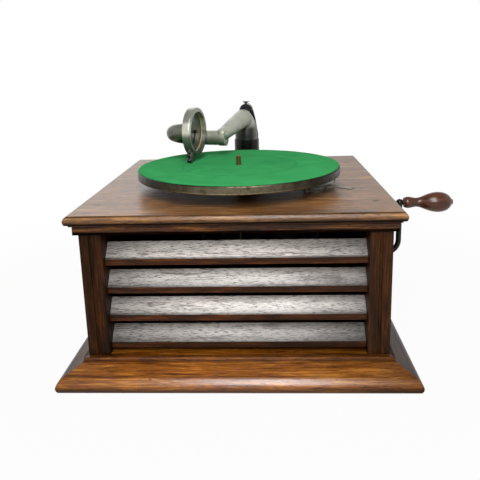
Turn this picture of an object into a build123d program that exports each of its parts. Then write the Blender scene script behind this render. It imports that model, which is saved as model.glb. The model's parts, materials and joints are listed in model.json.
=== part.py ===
from build123d import *
import math
import os

# Table gramophone with a louvred cabinet, a spring motor, a tapering tone arm and a
# swivelling sound box. Origin: centre of the underside of the base. +X is the crank
# side, +Y is the back, +Z is up. All lengths are in millimetres, all angles in degrees.

# Clearances
running_gap = 0.3
bearing_play = 0.05
mesh_play = 0.14
overrun = 1.0

# Cabinet body between the base moulding and the top frame
body_width = 401.0
body_depth = 411.5
post_side = 28.9
post_height = 170.5
flute_width = 4.6
panel_thickness = 9.0
panel_recess = 3.0

# Base moulding, measured outwards from the body's faces
moulding_height = 35.5
plinth_overhang = 37.0
plinth_nose_height = 7.3
plinth_foot_overhang = 34.6
slope_foot_overhang = 28.2
slope_foot_height = 18.9
ledge_overhang = 6.1
ledge_step = 5.8
bottom_board_thickness = 12.0

# Top frame and its small bead
frieze_height = 12.0
frieze_overhang = 5.7
bead_height = 2.6
bead_overhang = 9.2

# Top board with a thumb moulding on all four edges
board_thickness = 11.7
board_arris_overhang = 8.0
board_nose_overhang = 14.4
board_nose_drop = 6.5
board_foot_overhang = 12.6
board_screw_radius = 2.2
board_screw_head_radius = 4.4
board_screw_length = 24.0
board_screw_side_inset = 14.5
board_screw_front_inset = 47.75
board_screw_back_inset = 66.75
screw_slot_width = 0.9
screw_slot_depth = 0.9

# Louvre slats
slat_count = 4
slat_recess = 11.5
slat_room_below = 12.1
slat_top_gap = 1.0
slat_angle = 47.0
slat_face = 26.4
slat_thickness = 6.0

# Flat wooden horn under the motor, and the tin throat that feeds it
horn_lid_drop = 32.0
horn_lid_thickness = 9.0
horn_cheek_thickness = 8.0
horn_side_gap = 6.6
horn_back_width = 74.0
horn_front_gap = 36.0
horn_back_gap = 14.0
throat_wall = 1.2
throat_mouth_width = 64.0
throat_mouth_depth = 46.0
throat_flange_radius = 27.0
throat_flange_thickness = 2.0

# Turntable
platter_radius = 152.4
platter_lift = 31.75
platter_rim_depth = 13.2
platter_plate = 2.4
platter_rim = 3.5
platter_rim_round = 1.6
felt_thickness = 1.5
felt_setback = 0.6
hub_radius = 14.0
hub_depth = 14.0
spindle_y = -42.0
spindle_tip_radius = 3.6
spindle_tip_height = 14.0
spindle_tip_chamfer = 1.0
spindle_radius = 4.4
spindle_collar_radius = 9.0
spindle_collar_height = 3.0
spindle_board_hole = 11.0

# Motor frame
bed_width = 186.0
bed_depth = 125.0
bed_centre_x = 31.0
bed_centre_y = -37.5
bed_thickness = 3.0
bed_corner = 10.0
bed_hang = 7.1
motor_height = 64.5
lower_plate_thickness = 3.0
pillar_radius = 4.0
pillar_inset = 9.0
pillar_spigot_radius = 2.5
motor_screw_inset_x = 12.0
motor_screw_inset_y = 24.0
motor_screw_radius = 2.8
motor_screw_head_radius = 5.6
motor_screw_tail = 6.0
washer_radius = 8.0
foot_plate_gap = 1.0

# Spring barrel
barrel_x = 72.0
barrel_gear_teeth = 60
barrel_gear_module = 1.5
barrel_gear_height = 5.0
barrel_radius = 42.0
barrel_wall = 1.6
barrel_height = 34.0
barrel_floor = 2.0
barrel_lid_thickness = 2.0
barrel_lift = 6.0
arbor_radius = 5.0
arbor_hub_radius = 8.0
mainspring_thickness = 1.3
mainspring_turns = 6
mainspring_steps = 14
mainspring_side_gap = 0.6

# Intermediate arbor
inter_pinion_teeth = 12
inter_wheel_teeth = 48
inter_wheel_module = 1.25
inter_wheel_height = 4.0
inter_pinion_height = 7.0
inter_wheel_lift = 46.0
inter_arbor_radius = 3.0
inter_pivot_radius = 2.0
spindle_pinion_teeth = 12
spindle_pinion_height = 10.0

# Governor
governor_wheel_teeth = 60
governor_pinion_teeth = 10
governor_module = 1.0
governor_wheel_height = 4.0
governor_wheel_drop = 7.5
governor_pinion_height = 6.0
governor_side_share = -0.8
governor_back_share = 0.6
governor_radius = 2.0
governor_collar_radius = 6.0
governor_collar_height = 6.0
governor_collar_drop = 10.0
governor_disc_radius = 16.0
governor_disc_thickness = 1.6
governor_disc_lift = 9.0
governor_sleeve_height = 6.0
governor_weight_radius = 4.5
governor_weight_length = 7.0
governor_weight_orbit = 10.0
governor_spring_thickness = 0.5
governor_spring_width = 4.0
governor_arms = 3

# Winding gear: a bevel pinion on the crank's shaft turns a bevel wheel on the arbor
crank_axis_drop = 23.0
bevel_module = 2.0
bevel_pinion_teeth = 14
bevel_wheel_teeth = 28
bevel_face = 8.0
bevel_addendum = 1.5
bevel_dedendum = 2.1
bevel_hub_radius = 12.0
pinion_hub_radius = 9.0
pinion_hub_length = 10.0
winding_shaft_radius = 6.0
winding_socket_depth = 42.0
winding_socket_inset = 20.5
bearing_wheel_gap = 10.3
bearing_thickness = 6.0
bearing_width = 30.0
bearing_drop = 13.0

# Ratchet and pawl
ratchet_teeth = 16
ratchet_radius = 15.0
ratchet_root_radius = 12.4
ratchet_thickness = 3.0
ratchet_lift = 1.2
pawl_pivot_x = -18.0
pawl_pivot_y = 22.0
pawl_post_radius = 2.0
pawl_eye_radius = 4.0
pawl_width = 2.2
pawl_nose_gap = 1.6
pawl_root_gap = 0.5
pawl_lift_angle = 9.0

# Crank
crank_bar_radius = 4.1
crank_arm_reach = 43.9
crank_bend = 21.0
crank_throw = 80.5
crank_ball_radius = 5.6
crank_pin_radius = 3.0
crank_pin_head_radius = 4.2
crank_pin_head_length = 1.6
knob_start_gap = 5.9
knob_length = 71.0
knob_bulb_radius = 8.8
knob_bulb_at_share = 0.08
knob_neck_radius = 6.9
knob_neck_at_share = 0.26
knob_waist_radius = 10.4
knob_waist_at_share = 0.43
knob_belly_radius = 15.3
knob_belly_at_share = 0.68
knob_shoulder_radius = 12.6
knob_shoulder_at_share = 0.9
knob_end_radius = 5.2
escutcheon_radius = 16.0
escutcheon_thickness = 2.0
escutcheon_spigot = 8.0

# Tone arm bracket
pivot_x = 5.5
pivot_back_inset = 40.75
bracket_radius = 22.9
bracket_bore = 20.5
bracket_lower_bore = 15.6
bracket_shoulder_height = 29.7
bracket_sleeve_height = 43.7
bracket_flange_radius = 35.0
bracket_flange_thickness = 5.0
bracket_screw_circle = 29.0
bracket_screw_radius = 2.0
bracket_screw_head_radius = 3.8
bracket_screw_length = 15.0
bracket_screw_count = 3
arch_shoulder_half = 17.0
arch_shoulder_drop = 29.6
arch_neck_half = 12.4
arch_neck_drop = 10.6
arch_back_depth = 8.0
lug_thickness = 12.2
lug_radius = 12.4
pivot_screw_radius = 2.6
pivot_screw_head_radius = 5.9
pivot_screw_head_height = 4.4
pivot_screw_neck_radius = 2.0
pivot_tip_length = 3.0

# Tone arm casting
sleeve_radius = 20.2
sleeve_straight = 23.7
dome_waist_radius = 12.0
dome_waist_drop = 11.3
dome_top_radius = 4.5
arm_wall = 2.6
arm_front_dx = -29.5
arm_front_dy = -121.25
arm_rear_share = 0.15
arm_rear_radius = 16.25
arm_front_radius = 10.95
arm_front_rise = 5.3
arm_front_inset = 6.4
arm_rise = 16.5
dome_above_rear = 12.6
socket_radius = 13.3
socket_length = 11.0
spigot_radius = 10.0
spigot_length = 7.0

# Neck tube, bent into a U, with the sound box on its front leg
neck_azimuth = 14.75
neck_radius = 12.2
neck_wall = 1.8
neck_separation = 51.0
neck_tilt = 18.0
neck_rear_length = 55.2
neck_front_length = 19.3

# Sound box
box_radius = 38.1
box_depth = 12.2
box_wall = 2.5
box_back = 1.4
box_boss_radius = 13.6
box_boss_length = 5.0
ring_opening_radius = 31.6
ring_round = 2.4
ring_ear_width = 5.0
ring_ear_height = 3.4
ring_ear_reach = 4.2
ring_depth = 5.9
gasket_width = 3.0
diaphragm_thickness = 0.4
diaphragm_set = 2.5
needle_angle = 36.5
stylus_bar_width = 2.4
stylus_bar_thickness = 1.8
stylus_slot_play = 0.6
chuck_radius = 4.2
chuck_end = 53.5
chuck_start_gap = 0.6
chuck_rest_gap = 0.5
needle_hole_radius = 0.9
needle_hole_depth = 9.0
needle_screw_radius = 1.3
needle_screw_head_radius = 3.4
needle_screw_head_length = 2.6
needle_screw_stem = 3.2
needle_screw_back = 6.0

# Brake lever
brake_pad_bearing = -9.43
brake_pad_inset = 2.3
brake_azimuth = -34.8
brake_width = 10.5
brake_sheet = 1.6
brake_lift = 1.8
brake_jog_start = 24.0
brake_jog_rise = 9.6
brake_jog_run = 9.0
brake_tip = 71.0
brake_pad_azimuth = 36.9
brake_pad_reach = 51.0
brake_pad_width = 8.0
brake_pad_height = 8.0
brake_pad_thickness = 3.6
brake_pivot_radius = 2.6
brake_pivot_head_radius = 5.0
brake_pivot_head_height = 1.6

# Speed regulator
speed_reach = 135.0
speed_pad_reach = 12.0
regulator_pivot_reach = 55.0
regulator_width = 7.0
regulator_thickness = 2.4
regulator_pad_radius = 3.0
regulator_pad_thickness = 2.4
regulator_pad_gap = 0.7
regulator_eye_radius = 4.0
regulator_pin_radius = 1.6
regulator_ear_thickness = 2.4
speed_screw_radius = 2.5
speed_head_radius = 7.0
speed_head_height = 7.0
speed_head_gap = 0.4

# Levels and places worked out from the sizes above
half_width = body_width / 2
half_depth = body_depth / 2
frame_bottom = moulding_height + post_height
bead_bottom = frame_bottom + frieze_height
board_bottom = bead_bottom + bead_height
board_top = board_bottom + board_thickness
inner_width = body_width - 2 * post_side
inner_depth = body_depth - 2 * post_side
felt_top = board_top + platter_lift
platter_top = felt_top - felt_thickness
rim_bottom = felt_top - platter_rim_depth
bed_top = board_bottom - bed_hang
bed_bottom = bed_top - bed_thickness
lower_top = bed_bottom - motor_height
lower_bottom = lower_top - lower_plate_thickness
crank_axis_height = lower_bottom - crank_axis_drop
horn_lid_height = crank_axis_height - horn_lid_drop
horn_mouth_width = inner_width - 2 * horn_side_gap
slat_pitch = (post_height - slat_room_below) / slat_count
slat_top_drop = slat_pitch - slat_top_gap
winding_socket_end = half_width - winding_socket_inset
winding_socket_start = winding_socket_end - winding_socket_depth
crank_arm_x = half_width + crank_arm_reach
pivot_y = half_depth - pivot_back_inset
pad_face_radius = platter_radius - platter_rim - running_gap
tab_radius = pad_face_radius - brake_pad_thickness
up = Vector(0, 0, 1)


def polar(radius, degrees):
    """Point at a radius and an angle round the origin."""
    angle = math.radians(degrees)
    return Vector(radius * math.cos(angle), radius * math.sin(angle), 0)


def bearing_of(start, end):
    """Direction from one plan point to another, in degrees."""
    return math.degrees(math.atan2(end.Y - start.Y, end.X - start.X))


def side_plane(degrees, distance):
    """Upright plane across one side of the body: x runs outwards and y runs up."""
    outward = polar(1, degrees)
    return Plane(origin=outward * distance, x_dir=outward, z_dir=outward.cross(up))


def mitred_rails(outline, sides):
    """Rails of one section along the named sides, mitred at the body's corners."""
    rails = []
    for degrees, distance, half_run in sides:
        outward = polar(1, degrees)
        along = outward.cross(up)
        with BuildPart() as rail:
            with BuildSketch(side_plane(degrees, distance)):
                with BuildLine():
                    outline()
                make_face()
            extrude(amount=half_run + plinth_overhang, both=True)
            for end in (along, along * -1):
                corner = outward * distance + end * half_run
                split(bisect_by=Plane(origin=corner, z_dir=end - outward), keep=Keep.BOTTOM)
        rails.append(rail.part)
    return rails


def gear_points(teeth, module, turn):
    """Outline of a spur gear with a tooth centred at the angle turn."""
    pitch = teeth * module / 2
    base = pitch * math.cos(math.radians(20))
    tip = pitch + module
    root = pitch - 1.25 * module
    play = mesh_play / pitch

    def half_angle(radius):
        angle = math.acos(min(1, base / radius))
        pitch_angle = math.acos(base / pitch)
        spread = math.tan(pitch_angle) - pitch_angle - math.tan(angle) + angle
        return math.pi / (2 * teeth) + spread - play

    points = []
    for tooth in range(teeth):
        middle = math.radians(turn) + 2 * math.pi * tooth / teeth
        for radius, side in ((root, -1), (tip, -1), (tip, 1), (root, 1)):
            angle = middle + side * half_angle(radius)
            points.append((radius * math.cos(angle), radius * math.sin(angle)))
    return points


def spur_gear(centre, low, height, teeth, module, turn):
    """Adds a spur gear to the part that is being built."""
    with BuildSketch(Plane(origin=(centre.X, centre.Y, low))) as outline:
        Polygon(*gear_points(teeth, module, turn), align=None)
    extrude(outline.sketch, amount=height)


def bevel_gear(plane, teeth, mate, turn):
    """Adds a bevel gear whose big end lies on the plane and whose apex is in front of it."""
    pitch = teeth * bevel_module / 2
    reach = mate * bevel_module / 2
    cone = math.hypot(pitch, reach)
    lean = math.atan2(pitch, reach)
    tip = reach * math.tan(lean + math.atan2(bevel_addendum, cone))
    root = reach * math.tan(lean - math.atan2(bevel_dedendum, cone))
    quarter = math.pi / (2 * teeth)
    play = mesh_play / pitch
    taper = (tip - root) / (2 * pitch) * math.tan(math.radians(20))
    points = []
    for tooth in range(teeth):
        middle = math.radians(turn) + 2 * math.pi * tooth / teeth
        wide, narrow = quarter + taper - play, quarter - taper - play
        for radius, half in ((root, -wide), (tip, -narrow), (tip, narrow), (root, wide)):
            points.append((radius * math.cos(middle + half), radius * math.sin(middle + half)))
    share = (cone - bevel_face) / cone
    with BuildSketch(plane) as big_end:
        Polygon(*points, align=None)
    with BuildSketch(plane.offset(reach * (1 - share))) as small_end:
        Polygon(*[(x * share, y * share) for x, y in points], align=None)
    loft(big_end.sketch.faces() + small_end.sketch.faces(), ruled=True)


def shaft(plane, radius, length):
    """Adds a round bar that starts on a plane."""
    with BuildSketch(plane) as section:
        Circle(radius)
    extrude(section.sketch, amount=length)


def bore(plane, radius, length):
    """Cuts a round hole that starts on a plane."""
    with BuildSketch(plane) as section:
        Circle(radius)
    extrude(section.sketch, amount=length, mode=Mode.SUBTRACT)


def flat_at(x, y, height):
    """Level plane through a point."""
    return Plane(origin=(x, y, height))


def head_cone(x, y, top, head, mode):
    """Adds or cuts the cone of a countersunk head whose wide end is at the top."""
    with BuildSketch(Plane.XZ.offset(-y)) as section:
        with BuildLine():
            Polyline((x, top), (x + head, top), (x, top - head), close=True)
        make_face()
    revolve(section.sketch, axis=Axis((x, y, 0), (0, 0, 1)), mode=mode)


def countersunk_screws(places, top, shank, head, length):
    """Adds countersunk wood screws whose slotted heads are flush with a face."""
    for x, y in places:
        shaft(flat_at(x, y, top - length), shank, length)
        head_cone(x, y, top, head, Mode.ADD)
        with BuildSketch(flat_at(x, y, top)) as slot:
            Rectangle(2 * head + overrun, screw_slot_width)
        extrude(slot.sketch, amount=-screw_slot_depth, mode=Mode.SUBTRACT)


def countersunk_holes(places, top, shank, head, length):
    """Cuts the holes that those screws fill."""
    for x, y in places:
        bore(flat_at(x, y, top - length), shank, length)
        head_cone(x, y, top, head, Mode.SUBTRACT)


def compound_of(parts):
    """Several separate solids as one piece of the assembly."""
    return Compound(children=list(parts))


pieces = {}


def keep(name, shape):
    """Labels a finished piece and remembers it under its name."""
    shape.label = name
    pieces[name] = shape


# Base moulding: a sloping plinth with a rounded nose and a small step at the top
def plinth_outline():
    ledge_foot = (ledge_overhang, moulding_height - ledge_step)
    slope_foot = (slope_foot_overhang, slope_foot_height)
    nose = (plinth_overhang, plinth_nose_height)
    foot = (plinth_foot_overhang, 0)
    fall = (slope_foot[0] - ledge_foot[0], slope_foot[1] - ledge_foot[1])
    Polyline(foot, (-post_side, 0), (-post_side, moulding_height),
             (ledge_overhang, moulding_height), ledge_foot, slope_foot)
    TangentArc(slope_foot, nose, tangent=fall)
    TangentArc(nose, foot, tangent=(0, -1))


front_and_back = ((-90, half_depth, half_width), (90, half_depth, half_width))
left_and_right = ((180, half_width, half_depth), (0, half_width, half_depth))
keep("base_moulding_front_back", compound_of(mitred_rails(plinth_outline, front_and_back)))
keep("base_moulding_sides", compound_of(mitred_rails(plinth_outline, left_and_right)))

with BuildPart() as bottom_board:
    with BuildSketch():
        Rectangle(inner_width, inner_depth)
    extrude(amount=bottom_board_thickness)
keep("bottom_board", bottom_board.part)

# Corner posts: the front pair has one flute down the middle of its face
posts = []
for side_x in (-1, 1):
    for side_y in (-1, 1):
        post_x = side_x * (half_width - post_side / 2)
        post_y = side_y * (half_depth - post_side / 2)
        with BuildPart() as post:
            with BuildSketch(flat_at(post_x, post_y, moulding_height)):
                Rectangle(post_side, post_side)
            extrude(amount=post_height)
            if side_y < 0:
                bore(flat_at(post_x, -half_depth, moulding_height), flute_width / 2, post_height)
        posts.append(post.part)
keep("corner_posts", compound_of(posts))

# Side and back panels, set back a little between the posts
panel_middle = moulding_height + post_height / 2
for name, side in (("side_panel_left", -1), ("side_panel_right", 1)):
    with BuildPart() as side_panel:
        panel_face = Plane(origin=(side * (half_width - panel_recess), 0, panel_middle),
                           x_dir=(0, side, 0), z_dir=(side, 0, 0))
        with BuildSketch(panel_face):
            Rectangle(inner_depth, post_height)
        extrude(amount=-panel_thickness)
        if side > 0:
            crank_hole = Plane(origin=(half_width, spindle_y, crank_axis_height), z_dir=(-1, 0, 0))
            bore(crank_hole, escutcheon_spigot, post_side)
    keep(name, side_panel.part)

with BuildPart() as back_panel:
    with BuildSketch(Plane.XZ.offset(-(half_depth - panel_recess))):
        with Locations((0, panel_middle)):
            Rectangle(inner_width, post_height)
    extrude(amount=panel_thickness)
keep("back_panel", back_panel.part)


# Top frame: a plain frieze with a bead on top of it
def frieze_outline():
    Polyline((-post_side, frame_bottom), (frieze_overhang, frame_bottom),
             (frieze_overhang, bead_bottom), (bead_overhang, bead_bottom),
             (bead_overhang, board_bottom), (-post_side, board_bottom), close=True)


front_rail, back_rail = mitred_rails(frieze_outline, front_and_back)
with BuildPart() as notched_rail:
    add(back_rail)
    bore(flat_at(pivot_x, pivot_y, frame_bottom), throat_flange_radius + running_gap,
         board_bottom - frame_bottom)
keep("top_rails_front_back", compound_of([front_rail, notched_rail.part.solid()]))
keep("top_rails_sides", compound_of(mitred_rails(frieze_outline, left_and_right)))

# Louvre slats, each a thin board leaning back, with its front edge planed upright
slat_edge = slat_thickness / math.cos(math.radians(slat_angle))
slat_run = slat_face * math.cos(math.radians(slat_angle))
slat_rise = slat_face * math.sin(math.radians(slat_angle))
slat_back_run = slat_run + slat_thickness * math.sin(math.radians(slat_angle))
slat_back_rise = slat_rise - slat_thickness * math.cos(math.radians(slat_angle))
slat_front = -half_depth + slat_recess
for number in range(slat_count):
    arris = frame_bottom - slat_top_drop - number * slat_pitch
    with BuildPart() as slat:
        with BuildSketch(Plane.YZ):
            with BuildLine():
                Polyline((slat_front, arris), (slat_front + slat_run, arris + slat_rise),
                         (slat_front + slat_back_run, arris + slat_back_rise),
                         (slat_front, arris - slat_edge), close=True)
            make_face()
        extrude(amount=inner_width / 2, both=True)
    keep(f"louvre_slat_{number + 1}", slat.part)

# Places on the motor
spindle_at = Vector(0, spindle_y, 0)
barrel_at = Vector(barrel_x, spindle_y, 0)
barrel_pitch = barrel_gear_teeth * barrel_gear_module / 2
inter_pinion_pitch = inter_pinion_teeth * barrel_gear_module / 2
inter_wheel_pitch = inter_wheel_teeth * inter_wheel_module / 2
spindle_pinion_pitch = spindle_pinion_teeth * inter_wheel_module / 2
near = inter_wheel_pitch + spindle_pinion_pitch
far = barrel_pitch + inter_pinion_pitch
inter_dx = (barrel_x ** 2 + near ** 2 - far ** 2) / (2 * barrel_x)
inter_at = spindle_at + Vector(inter_dx, math.sqrt(near ** 2 - inter_dx ** 2), 0)
governor_reach = (governor_wheel_teeth + governor_pinion_teeth) * governor_module / 2
governor_at = spindle_at + Vector(governor_side_share, governor_back_share, 0) * governor_reach
speed_direction = Vector(governor_side_share, -governor_side_share, 0).normalized()
speed_at = governor_at + speed_direction * speed_reach
pivot_at = Vector(pivot_x, pivot_y, 0)
pad_way = polar(1, brake_pad_azimuth)
pad_out = polar(1, brake_pad_bearing)
pad_point = spindle_at + pad_out * (tab_radius - brake_pad_inset)
brake_at = pad_point - pad_way * brake_pad_reach
board_screw_places = [(side * (half_width - board_screw_side_inset), y) for side in (-1, 1)
                      for y in (board_screw_front_inset - half_depth, half_depth - board_screw_back_inset)]
motor_screw_places = [(bed_centre_x + side_x * (bed_width / 2 - motor_screw_inset_x),
                       bed_centre_y + side_y * (bed_depth / 2 - motor_screw_inset_y))
                      for side_x in (-1, 1) for side_y in (-1, 1)]
bracket_screw_places = [
    tuple(pivot_at + polar(bracket_screw_circle, 90 + 360 * n / bracket_screw_count))[:2]
    for n in range(bracket_screw_count)]

# Top board
with BuildPart() as top_board:
    with BuildSketch(Plane.XY.offset(board_bottom)):
        Rectangle(body_width + 2 * board_nose_overhang, body_depth + 2 * board_nose_overhang)
    extrude(amount=board_thickness)
    for degrees, distance, half_run in front_and_back + left_and_right:
        arris = (board_arris_overhang, board_top)
        nose = (board_nose_overhang, board_top - board_nose_drop)
        foot = (board_foot_overhang, board_bottom)
        clear = board_nose_overhang + overrun
        with BuildSketch(side_plane(degrees, distance)):
            with BuildLine():
                TangentArc(nose, arris, tangent=(0, 1))
                TangentArc(nose, foot, tangent=(0, -1))
                Polyline(foot, (board_foot_overhang, board_bottom - overrun),
                         (clear, board_bottom - overrun), (clear, board_top + overrun),
                         (board_arris_overhang, board_top + overrun), arris)
            make_face()
        extrude(amount=half_run + clear + overrun, both=True, mode=Mode.SUBTRACT)
    countersunk_holes(board_screw_places, board_top, board_screw_radius, board_screw_head_radius,
                      board_screw_length)
    countersunk_holes(motor_screw_places, board_top, motor_screw_radius, motor_screw_head_radius,
                      board_thickness)
    countersunk_holes(bracket_screw_places, board_top, bracket_screw_radius, bracket_screw_radius,
                      board_thickness)
    bore(flat_at(0, spindle_y, board_bottom), spindle_board_hole, board_thickness)
    bore(flat_at(pivot_x, pivot_y, board_bottom), bracket_lower_bore, board_thickness)
    bore(flat_at(speed_at.X, speed_at.Y, board_bottom), speed_screw_radius + bearing_play, board_thickness)
    bore(flat_at(brake_at.X, brake_at.Y, board_bottom), brake_pivot_radius, board_thickness)
keep("top_board", top_board.part)

with BuildPart() as board_screws:
    countersunk_screws(board_screw_places, board_top, board_screw_radius, board_screw_head_radius,
                       board_thickness)
keep("board_screws", board_screws.part)

# Flat horn: a lid over the bottom board and two cheeks that spread towards the louvres
horn_front_y = -half_depth + horn_front_gap
horn_back_y = half_depth - post_side - horn_back_gap
with BuildPart() as horn_lid:
    with BuildSketch(Plane.XY.offset(horn_lid_height)):
        with Locations((0, (horn_front_y + half_depth - post_side) / 2)):
            Rectangle(inner_width, half_depth - post_side - horn_front_y)
    extrude(amount=horn_lid_thickness)
    with BuildSketch(Plane.XY.offset(horn_lid_height)):
        with Locations((pivot_x, pivot_y - throat_mouth_depth / 2)):
            Rectangle(throat_mouth_width - 2 * throat_wall, throat_mouth_depth - 2 * throat_wall)
    extrude(amount=horn_lid_thickness, mode=Mode.SUBTRACT)
keep("horn_lid", horn_lid.part)

cheeks = []
for side in (-1, 1):
    mouth_x = side * horn_mouth_width / 2
    back_x = side * horn_back_width / 2
    with BuildPart() as cheek:
        with BuildSketch(Plane.XY.offset(bottom_board_thickness)):
            with BuildLine():
                Polyline((mouth_x, horn_front_y), (back_x, horn_back_y),
                         (back_x + side * horn_cheek_thickness, horn_back_y),
                         (mouth_x + side * horn_cheek_thickness / 2, horn_front_y), close=True)
            make_face()
        extrude(amount=horn_lid_height - bottom_board_thickness)
    cheeks.append(cheek.part)
keep("horn_cheeks", compound_of(cheeks))

lid_top = horn_lid_height + horn_lid_thickness
with BuildPart() as horn_throat:
    for wall in (0, throat_wall):
        with BuildSketch(Plane.XY.offset(lid_top)):
            with Locations((pivot_x, pivot_y - throat_mouth_depth / 2)):
                RectangleRounded(throat_mouth_width - 2 * wall, throat_mouth_depth - 2 * wall,
                                 throat_mouth_depth / 4 - wall)
        with BuildSketch(Plane.XY.offset(board_bottom)):
            with Locations((pivot_x, pivot_y)):
                Circle(bracket_lower_bore + throat_wall - wall)
        loft(mode=Mode.SUBTRACT if wall else Mode.ADD)
    with BuildSketch(Plane.XY.offset(board_bottom)):
        with Locations((pivot_x, pivot_y)):
            Circle(throat_flange_radius)
            Circle(bracket_lower_bore, mode=Mode.SUBTRACT)
    extrude(amount=-throat_flange_thickness)
keep("horn_throat", horn_throat.part)

# Motor frame: bedplate under the board, four pillars and a lower plate
pillar_places = [(bed_centre_x + side_x * (bed_width / 2 - pillar_inset),
                  bed_centre_y + side_y * (bed_depth / 2 - pillar_inset))
                 for side_x in (-1, 1) for side_y in (-1, 1)]
regulator_at = governor_at + speed_direction * regulator_pivot_reach
disc_low = lower_top + governor_disc_lift
disc_top = disc_low + governor_disc_thickness
regulator_low = disc_top + regulator_pad_gap + regulator_pad_thickness
regulator_axis_height = regulator_low + regulator_thickness / 2
regulator_across = up.cross(speed_direction)


def plate(level, thickness):
    """Adds one of the motor's two plates, with the pillars' holes."""
    with BuildSketch(flat_at(bed_centre_x, bed_centre_y, level)) as outline:
        RectangleRounded(bed_width, bed_depth, bed_corner)
    extrude(outline.sketch, amount=thickness)
    for x, y in pillar_places:
        bore(flat_at(x, y, level), pillar_spigot_radius, thickness)


with BuildPart() as motor_bedplate:
    plate(bed_bottom, bed_thickness)
    for x, y in motor_screw_places:
        bore(flat_at(x, y, bed_bottom), motor_screw_radius, bed_thickness)
    bore(flat_at(0, spindle_y, bed_bottom), spindle_radius + bearing_play, bed_thickness)
    bore(flat_at(barrel_x, spindle_y, bed_bottom), arbor_radius + bearing_play, bed_thickness)
    bore(flat_at(inter_at.X, inter_at.Y, bed_bottom), inter_pivot_radius + bearing_play, bed_thickness)
    bore(flat_at(governor_at.X, governor_at.Y, bed_bottom), governor_radius + bearing_play, bed_thickness)
    for side in (-1, 1):
        ear_offset = side * (regulator_width / 2 + running_gap)
        ear_face = Plane(origin=regulator_at + regulator_across * ear_offset + up * bed_bottom,
                         x_dir=speed_direction, z_dir=regulator_across * side)
        ear_sign = ear_face.y_dir.Z
        with BuildSketch(ear_face):
            with Locations((0, -ear_sign * (bed_bottom - regulator_axis_height) / 2)):
                Rectangle(2 * regulator_eye_radius, bed_bottom - regulator_axis_height)
            with Locations((0, -ear_sign * (bed_bottom - regulator_axis_height))):
                Circle(regulator_eye_radius)
                Circle(regulator_pin_radius, mode=Mode.SUBTRACT)
        extrude(amount=regulator_ear_thickness)
    pin_start = regulator_at + up * regulator_axis_height
    pin_half = regulator_width / 2 + running_gap + regulator_ear_thickness
    shaft(Plane(origin=pin_start - regulator_across * pin_half, z_dir=regulator_across),
          regulator_pin_radius, 2 * pin_half)
keep("motor_bedplate", motor_bedplate.part)

pillars = []
for x, y in pillar_places:
    with BuildPart() as pillar:
        shaft(flat_at(x, y, lower_top), pillar_radius, motor_height)
        shaft(flat_at(x, y, lower_bottom), pillar_spigot_radius, bed_top - lower_bottom)
    pillars.append(pillar.part)
keep("motor_pillars", compound_of(pillars))

# The winding shaft turns in two bearings that hang under the lower plate
bevel_pinion_pitch = bevel_pinion_teeth * bevel_module / 2
bevel_wheel_pitch = bevel_wheel_teeth * bevel_module / 2
wheel_level = crank_axis_height + bevel_pinion_pitch
pinion_back_x = barrel_x - bevel_wheel_pitch
bearing_x = barrel_x + bevel_wheel_pitch + bearing_wheel_gap
inner_bearing_x = pinion_back_x - pinion_hub_length - running_gap - bearing_thickness
pawl_at = barrel_at + Vector(pawl_pivot_x, pawl_pivot_y, 0)
ratchet_low = lower_top + ratchet_lift
with BuildPart() as motor_bottom_plate:
    plate(lower_bottom, lower_plate_thickness)
    bore(flat_at(barrel_x, spindle_y, lower_bottom), arbor_radius + bearing_play, lower_plate_thickness)
    for place in (spindle_at, governor_at, inter_at):
        bore(flat_at(place.X, place.Y, lower_bottom), inter_pivot_radius + bearing_play,
             lower_plate_thickness)
    shaft(flat_at(pawl_at.X, pawl_at.Y, lower_top), pawl_post_radius,
          ratchet_lift + ratchet_thickness + overrun)
    bearing_low = crank_axis_height - bearing_drop
    for face_x in (bearing_x, inner_bearing_x):
        bearing_face = Plane(origin=(face_x, spindle_y, 0), x_dir=(0, 1, 0), z_dir=(1, 0, 0))
        with BuildSketch(bearing_face):
            with Locations((0, (bearing_low + lower_bottom) / 2)):
                Rectangle(bearing_width, lower_bottom - bearing_low)
            with Locations((0, crank_axis_height)):
                Circle(winding_shaft_radius + bearing_play, mode=Mode.SUBTRACT)
        extrude(amount=bearing_thickness)
keep("motor_bottom_plate", motor_bottom_plate.part)

with BuildPart() as motor_screws:
    countersunk_screws(motor_screw_places, board_top, motor_screw_radius, motor_screw_head_radius,
                       board_top - bed_bottom + motor_screw_tail)
    for x, y in motor_screw_places:
        with BuildSketch(flat_at(x, y, bed_bottom)):
            RegularPolygon(motor_screw_head_radius, 6)
        extrude(amount=-motor_screw_tail / 2)
keep("motor_screws", motor_screws.part)

with BuildPart() as motor_washers:
    for x, y in motor_screw_places:
        shaft(flat_at(x, y, bed_top), washer_radius, bed_hang)
        bore(flat_at(x, y, bed_top), motor_screw_radius, bed_hang)
keep("motor_washers", motor_washers.part)

# Turntable: a dished platter with a rounded rim, its felt and its spindle
with BuildPart() as platter:
    with BuildSketch(Plane.XZ.offset(-spindle_y)):
        with BuildLine():
            rim_inside = platter_radius - platter_rim
            Polyline((spindle_radius, platter_top), (platter_radius, platter_top),
                     (platter_radius, rim_bottom), (rim_inside, rim_bottom),
                     (rim_inside, platter_top - platter_plate), (hub_radius, platter_top - platter_plate),
                     (hub_radius, platter_top - hub_depth), (spindle_radius, platter_top - hub_depth),
                     close=True)
        make_face()
    revolve(axis=Axis((0, spindle_y, 0), (0, 0, 1)))
    outer_edges = platter.edges().filter_by(GeomType.CIRCLE).filter_by(
        lambda edge: abs(edge.radius - platter_radius) < platter_rim / 10)
    fillet(outer_edges, platter_rim_round)
keep("platter", platter.part)

with BuildPart() as felt_mat:
    shaft(flat_at(0, spindle_y, platter_top), platter_radius - platter_rim_round, felt_thickness)
    bore(flat_at(0, spindle_y, platter_top), spindle_radius + felt_setback, felt_thickness)
keep("felt_mat", felt_mat.part)

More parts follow.
